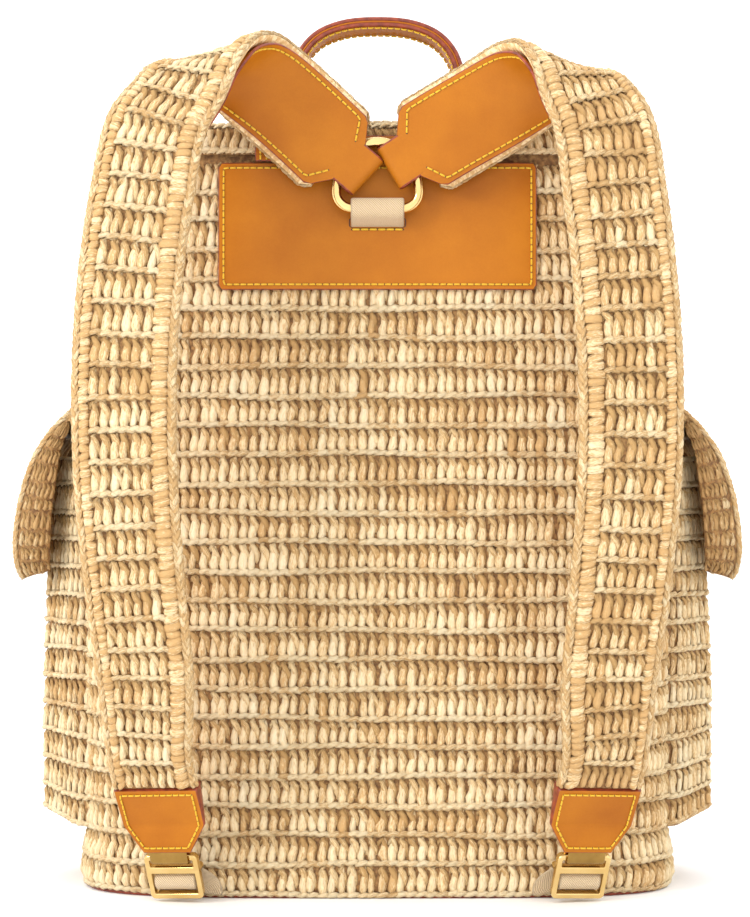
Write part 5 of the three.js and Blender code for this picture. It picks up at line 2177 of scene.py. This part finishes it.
@dataclass
class Pocket:
    """Side pocket, open at the top, with a flap that arches over its mouth."""

    side: Side
    tub: Tub
    reach: float = 24.5
    length: float = 116.0
    tip: float = 44.0
    bottom: float = 35.0
    below_rim: float = 184.0
    forward: float = 8.0
    corner: float = 12.0
    rise: float = 7.0
    flap_length: float = 106.0
    flap_reach: float = 36.0
    flap_below_rim: float = 142.0
    flap_drop: float = 111.0
    root: float = 5.0
    root_depth: float = 16.0
    wall_bulge: float = 4.4
    wall_sink: float = 1.2
    shade_reach: float = 30.0
    wall_heights: tuple[float, ...] = (183, 218, 256, 269, 290)
    wall_places: tuple[float, ...] = (191.8, 190, 185, 180, 176)
    sections: tuple[tuple[float, float], ...] = (
        (0, 1), (0.38, 1), (0.6, 0.94), (0.83, 0.85), (1, 0.68)
    )
    profile: tuple[tuple[float, float, float], ...] = (
        (0, 0, 0.97),
        (0.09, 0, 0.99),
        (0.155, 0.1, 1),
        (0.21, 0.27, 1),
        (0.29, 0.49, 1),
        (0.39, 0.69, 1),
        (0.5, 0.82, 1),
        (0.62, 0.92, 1),
        (0.74, 0.98, 1),
        (0.84, 1, 0.99),
        (0.92, 0.98, 0.94),
        (0.97, 0.94, 0.86),
        (1, 0.88, 0.76),
    )

    def outline(self, reach: float, inset: float, z: float, rise: float, columns: int) -> Array:
        """Row of the wall at a height, from the back seam to the front seam."""
        edge = self.tub.width / 2
        tip = edge + reach - inset
        base = self.length / 2 - inset * 1.2
        end = self.tip / 2 - inset * 0.4
        points = [(edge - self.root_depth, -base), (edge - self.root, -base)]
        for sign in (-1, 1):
            for k in range(4):
                share = k / 3 if sign < 0 else 1 - k / 3
                slide = (share - 0.5) * self.corner
                bulge = self.corner / 3 * (1 - (2 * share - 1) ** 2) * 0.5
                x = tip - max(-slide, 0) * 0.7 + bulge * 0.3 - self.corner * 0.1
                points.append((x, sign * (end - slide)))
        points += [(edge - self.root, base), (edge - self.root_depth, base)]
        line = curve_through(np.array([(x, y, 0.0) for x, y in points]), np.linspace(0, 1, 400))
        length = arc_lengths(line)
        at = np.linspace(0, length[-1], columns)
        x, y = at_lengths(at, length, line[:, :2]).T
        outward = np.clip((x - edge) / self.reach, 0, 1)
        return np.stack([self.side.value * x, y + self.forward, z + rise * outward], -1)

    def wall(self, inset: float, columns: int, rows: int, floor: float = 0.0) -> Array:
        """Grid of the pocket's wall."""
        height = self.tub.height - self.below_rim - self.bottom
        keys = [
            self.outline(
                share * self.reach,
                inset,
                self.bottom + up * height + (floor if i == 0 else 0),
                self.rise if i == 0 else 0.0,
                columns,
            )
            for i, (up, share) in enumerate(self.sections)
        ]
        return smooth_rows(np.stack(keys), rows)

    def make_pocket(self, finishes: Finishes) -> None:
        """Makes the pocket's wall, floor and stitches."""
        name = self.side.label
        outer, inner = self.wall(1.8, 40, 18), self.wall(GAPS.woven, 40, 18, GAPS.woven)
        skein = Skein(f"pocket_backing_{name}")
        rings = np.concatenate([outer, inner[::-1]])
        skein.loft(rings if self.side is Side.LEFT else rings[:, ::-1])
        skein.piece([finishes.ground], "straw", [f"pocket_{name}"])
        inside = np.array([self.side.value * 150.0, self.forward, 140.0])
        sheet = Sheet(self.wall(1.9, 140, 110), inside)
        Crochet(
            f"pocket_{name}", sheet, 61 + self.side.value, rise=16.4, sway=0.5, edges=(0.12, 1.0)
        ).dress(finishes, [f"pocket_{name}"])

    def flap_grid(self, depth: float, columns: int, rows: int) -> Array:
        """Grid of the flap at a depth above its inner face, from its seam down."""
        top = self.tub.height - self.flap_below_rim
        table = np.array(self.profile)
        drop, reach = table[:, 0] * self.flap_drop, table[:, 1] * self.flap_reach
        count = len(table)
        before = np.maximum(np.arange(count) - 1, 0)
        after = np.minimum(np.arange(count) + 1, count - 1)
        run, fall = reach[after] - reach[before], drop[after] - drop[before]
        size = np.hypot(run, fall)
        out_x, out_z = fall / size, run / size
        keys = []
        for k in range(count):
            z = top - drop[k]
            y = np.linspace(-0.5, 0.5, columns) * self.flap_length * table[k, 2] + self.forward
            seam = max(z, top - self.flap_drop * 0.3)
            x = self.tub.side_reach(y, np.full_like(y, seam), GAPS.seam) + reach[k]
            x = self.side.value * (x + out_x[k] * depth)
            keys.append(np.stack([x, y, 0 * y + z + out_z[k] * depth], -1))
        return smooth_rows(np.stack(keys), rows)

    def make_flap(self, finishes: Finishes) -> None:
        """Makes the flap, stitched on both faces, with its corded edge."""
        name = self.side.label
        skein = Skein(f"pocket_flap_backing_{name}")
        outer, inner = self.flap_grid(3.3, 20, 44), self.flap_grid(1.6, 20, 44)
        rings = np.concatenate([outer, inner[:, ::-1]], axis=1)
        skein.loft(rings)
        skein.piece([finishes.ground], "straw", [f"pocket_flap_{name}"])
        near = np.array([self.side.value * 150.0, self.forward, 225.0])
        far = np.array([self.side.value * 420.0, self.forward, 225.0])
        for label, depth, away, seed in (("outer", 3.1, near, 71), ("inner", 1.9, far, 81)):
            sheet = Sheet(self.flap_grid(depth, 80, 120)[::-1], away)
            low = 4.6
            Crochet(
                f"pocket_flap_{label}_{name}",
                sheet,
                seed + self.side.value,
                depth=0.72,
                span=(low, sheet.width - low),
                sway=0.3,
                edges=(0.0, 0.22),
                # Painted shade: the inner face gets darker stitches, for the shadow under the flap.
                shade=0.42 if label == "outer" else 0.62,
            ).dress(finishes, [f"pocket_flap_{name}"])
            if label == "outer":
                edge = Skein(f"pocket_flap_edge_{name}")
                for u, n in ((1.8, 91), (sheet.width - 1.8, 92)):
                    cord = Cord(sheet, half_width=3.4, height=3.0, pitch=5.2, seed=n, base=-1.0)
                    ends = (1.0, sheet.height - 2.0)
                    cord.braid(edge, lambda v, u=u: np.full_like(v, u), ends)
                edge.piece([finishes.chain], "straw", [f"pocket_flap_{name}"])

    def end_walls(self, finishes: Finishes) -> None:
        """Makes the flap's two ends, which turn in toward the pocket as soft thick walls."""
        name = self.side.label
        grid = self.flap_grid(2.6, 41, 120)
        for end, column, outward, seed in (("back", 0, -1.0, 101), ("front", -1, 1.0, 111)):
            edge = grid[14:, column]
            x, z = np.abs(edge[:, 0]), edge[:, 2]
            inner = np.interp(z, self.wall_heights, self.wall_places)
            share = np.linspace(0, 1, 15)[None]
            fall = np.gradient(z)
            run = np.gradient(x)
            lean = np.clip(-run / np.maximum(np.hypot(run, fall), 1e-6), -0.75, 0.75)
            depth = np.maximum(x - inner, 1.0)[:, None] * share
            soft = np.sin(np.pi * (0.08 + 0.84 * share)) * self.wall_bulge - self.wall_sink
            at_x = self.side.value * (x[:, None] - depth)
            at_y = edge[:, 1:2] + outward * soft
            at_z = z[:, None] + lean[:, None] * depth * 0.55
            front = np.stack(np.broadcast_arrays(at_x, at_y, at_z), axis=-1)[::-1]
            back = front - np.array([0.0, outward * 1.6, 0.0])
            rings = np.concatenate([front, back[:, ::-1]], axis=1)
            if self.side.value * outward < 0:
                rings = rings[:, ::-1]
            skein = Skein(f"pocket_flap_wall_{end}_{name}")
            skein.loft(rings[::4])
            skein.piece([finishes.ground], "straw")
            middle = front.mean(axis=(0, 1)) - np.array([0.0, outward * 40.0, 0.0])
            sheet = Sheet(front, middle)

            def painted_shade_inward(u: Array, v: Array, sheet: Sheet = sheet) -> Array:
                """Painted shade that deepens from the rim inward, into the gap between flap and
                pocket.
                """
                rim = inner.mean() + self.shade_reach
                inward = (rim - np.abs(sheet.at(u, v)[:, 0])) / self.shade_reach
                return np.clip(inward, 0, 1) * 0.75 - 0.25

            Crochet(
                f"pocket_flap_{end}_{name}",
                sheet,
                seed + self.side.value,
                rise=9.5,
                depth=0.62,
                columns=6,
                sway=1.2,
                # Painted shade: the end walls' stitches are darker, for the shadow between flap and
                # pocket.
                shade=0.62,
                bias=painted_shade_inward,
                lined=False,
            ).dress(finishes)


@dataclass
class Studio:
    """Pale floor, soft light and the camera of the photograph."""

    focal_pixels: float = 2840.0
    frame_height: float = 917.0
    sensor: float = 36.0
    eye: tuple[float, float, float] = (-1.4, -1700.0, 249.0)
    aim: tuple[float, float, float] = (0.0, 0.0, 0.25)
    surroundings: float = 1.6

    def floor(self, finishes: Finishes) -> None:
        """Makes the floor."""
        bpy.ops.mesh.primitive_plane_add(size=14.0, location=(0, 2.0, 0))
        plane = bpy.context.object
        plane.name = "floor"
        plane.data.materials.append(finishes.floor)

    def lamp(self, name: str, place: tuple[float, float, float], size: float, power: float) -> None:
        """Makes a soft square lamp that faces the bag."""
        light = bpy.data.lights.new(name, "AREA")
        light.size = size
        light.energy = power
        made = bpy.data.objects.new(name, light)
        bpy.context.scene.collection.objects.link(made)
        made.location = place
        aim = np.array(self.aim) - np.array(place)
        flat = math.hypot(aim[0], aim[1])
        made.rotation_euler = (
            math.pi / 2 + math.atan2(aim[2], flat), 0.0, math.atan2(aim[1], aim[0]) - math.pi / 2
        )

    def light(self) -> None:
        """Sets the white surroundings and the lamps."""
        world = bpy.data.worlds.new("white_surroundings")
        bpy.context.scene.world = world
        world.use_nodes = True
        background = world.node_tree.nodes["Background"]
        background.inputs["Color"].default_value = (1.0, 1.0, 1.0, 1.0)
        background.inputs["Strength"].default_value = self.surroundings
        bpy.context.scene.view_settings.view_transform = "Standard"
        self.lamp("key", (-1.7, -1.5, 1.3), 0.7, 24.0)
        self.lamp("back", (0.3, 1.6, 1.6), 1.2, 8.0)

    def camera(self) -> None:
        """Makes the camera."""
        data = bpy.data.cameras.new("camera")
        data.sensor_fit = "VERTICAL"
        data.sensor_height = self.sensor
        data.lens = self.focal_pixels / self.frame_height * self.sensor
        made = bpy.data.objects.new("camera", data)
        bpy.context.scene.collection.objects.link(made)
        x, y, z = self.eye
        made.location = (x * METRE, (y + TUB_SHIFT) * METRE, z * METRE)
        made.rotation_euler = (math.pi / 2, 0.0, 0.0)
        bpy.context.scene.camera = made


def main() -> None:
    """Builds the bag from its tub outward, then the studio."""
    logging.basicConfig(level=logging.INFO, format="%(name)s %(message)s")
    finishes = Finishes()
    tub = Tub()
    tub.backing_shell(finishes)
    tub.base(finishes)
    tub.weave(finishes)
    flap = TopFlap(tub)
    flap.make(finishes)
    BackLeather(tub).make(finishes)
    ring = RingAndKeeper(tub)
    ring.ring(finishes)
    ring.keeper(finishes)
    CarryHandle(tub, flap).make(finishes)
    for side, bend in FOLDS.items():
        foot = Fastening(side, tub)
        foot.tab(finishes)
        foot.buckle(finishes)
        foot.adjuster(finishes)
        strap = Strap(side, tub, ring, foot, bend)
        strap.core(finishes)
        strap.weave(finishes)
        strap.lining(finishes)
        pocket = Pocket(side, tub)
        pocket.make_pocket(finishes)
        pocket.make_flap(finishes)
        pocket.end_walls(finishes)
    studio = Studio()
    studio.floor(finishes)
    studio.light()
    studio.camera()


if __name__ == "__main__":
    main()
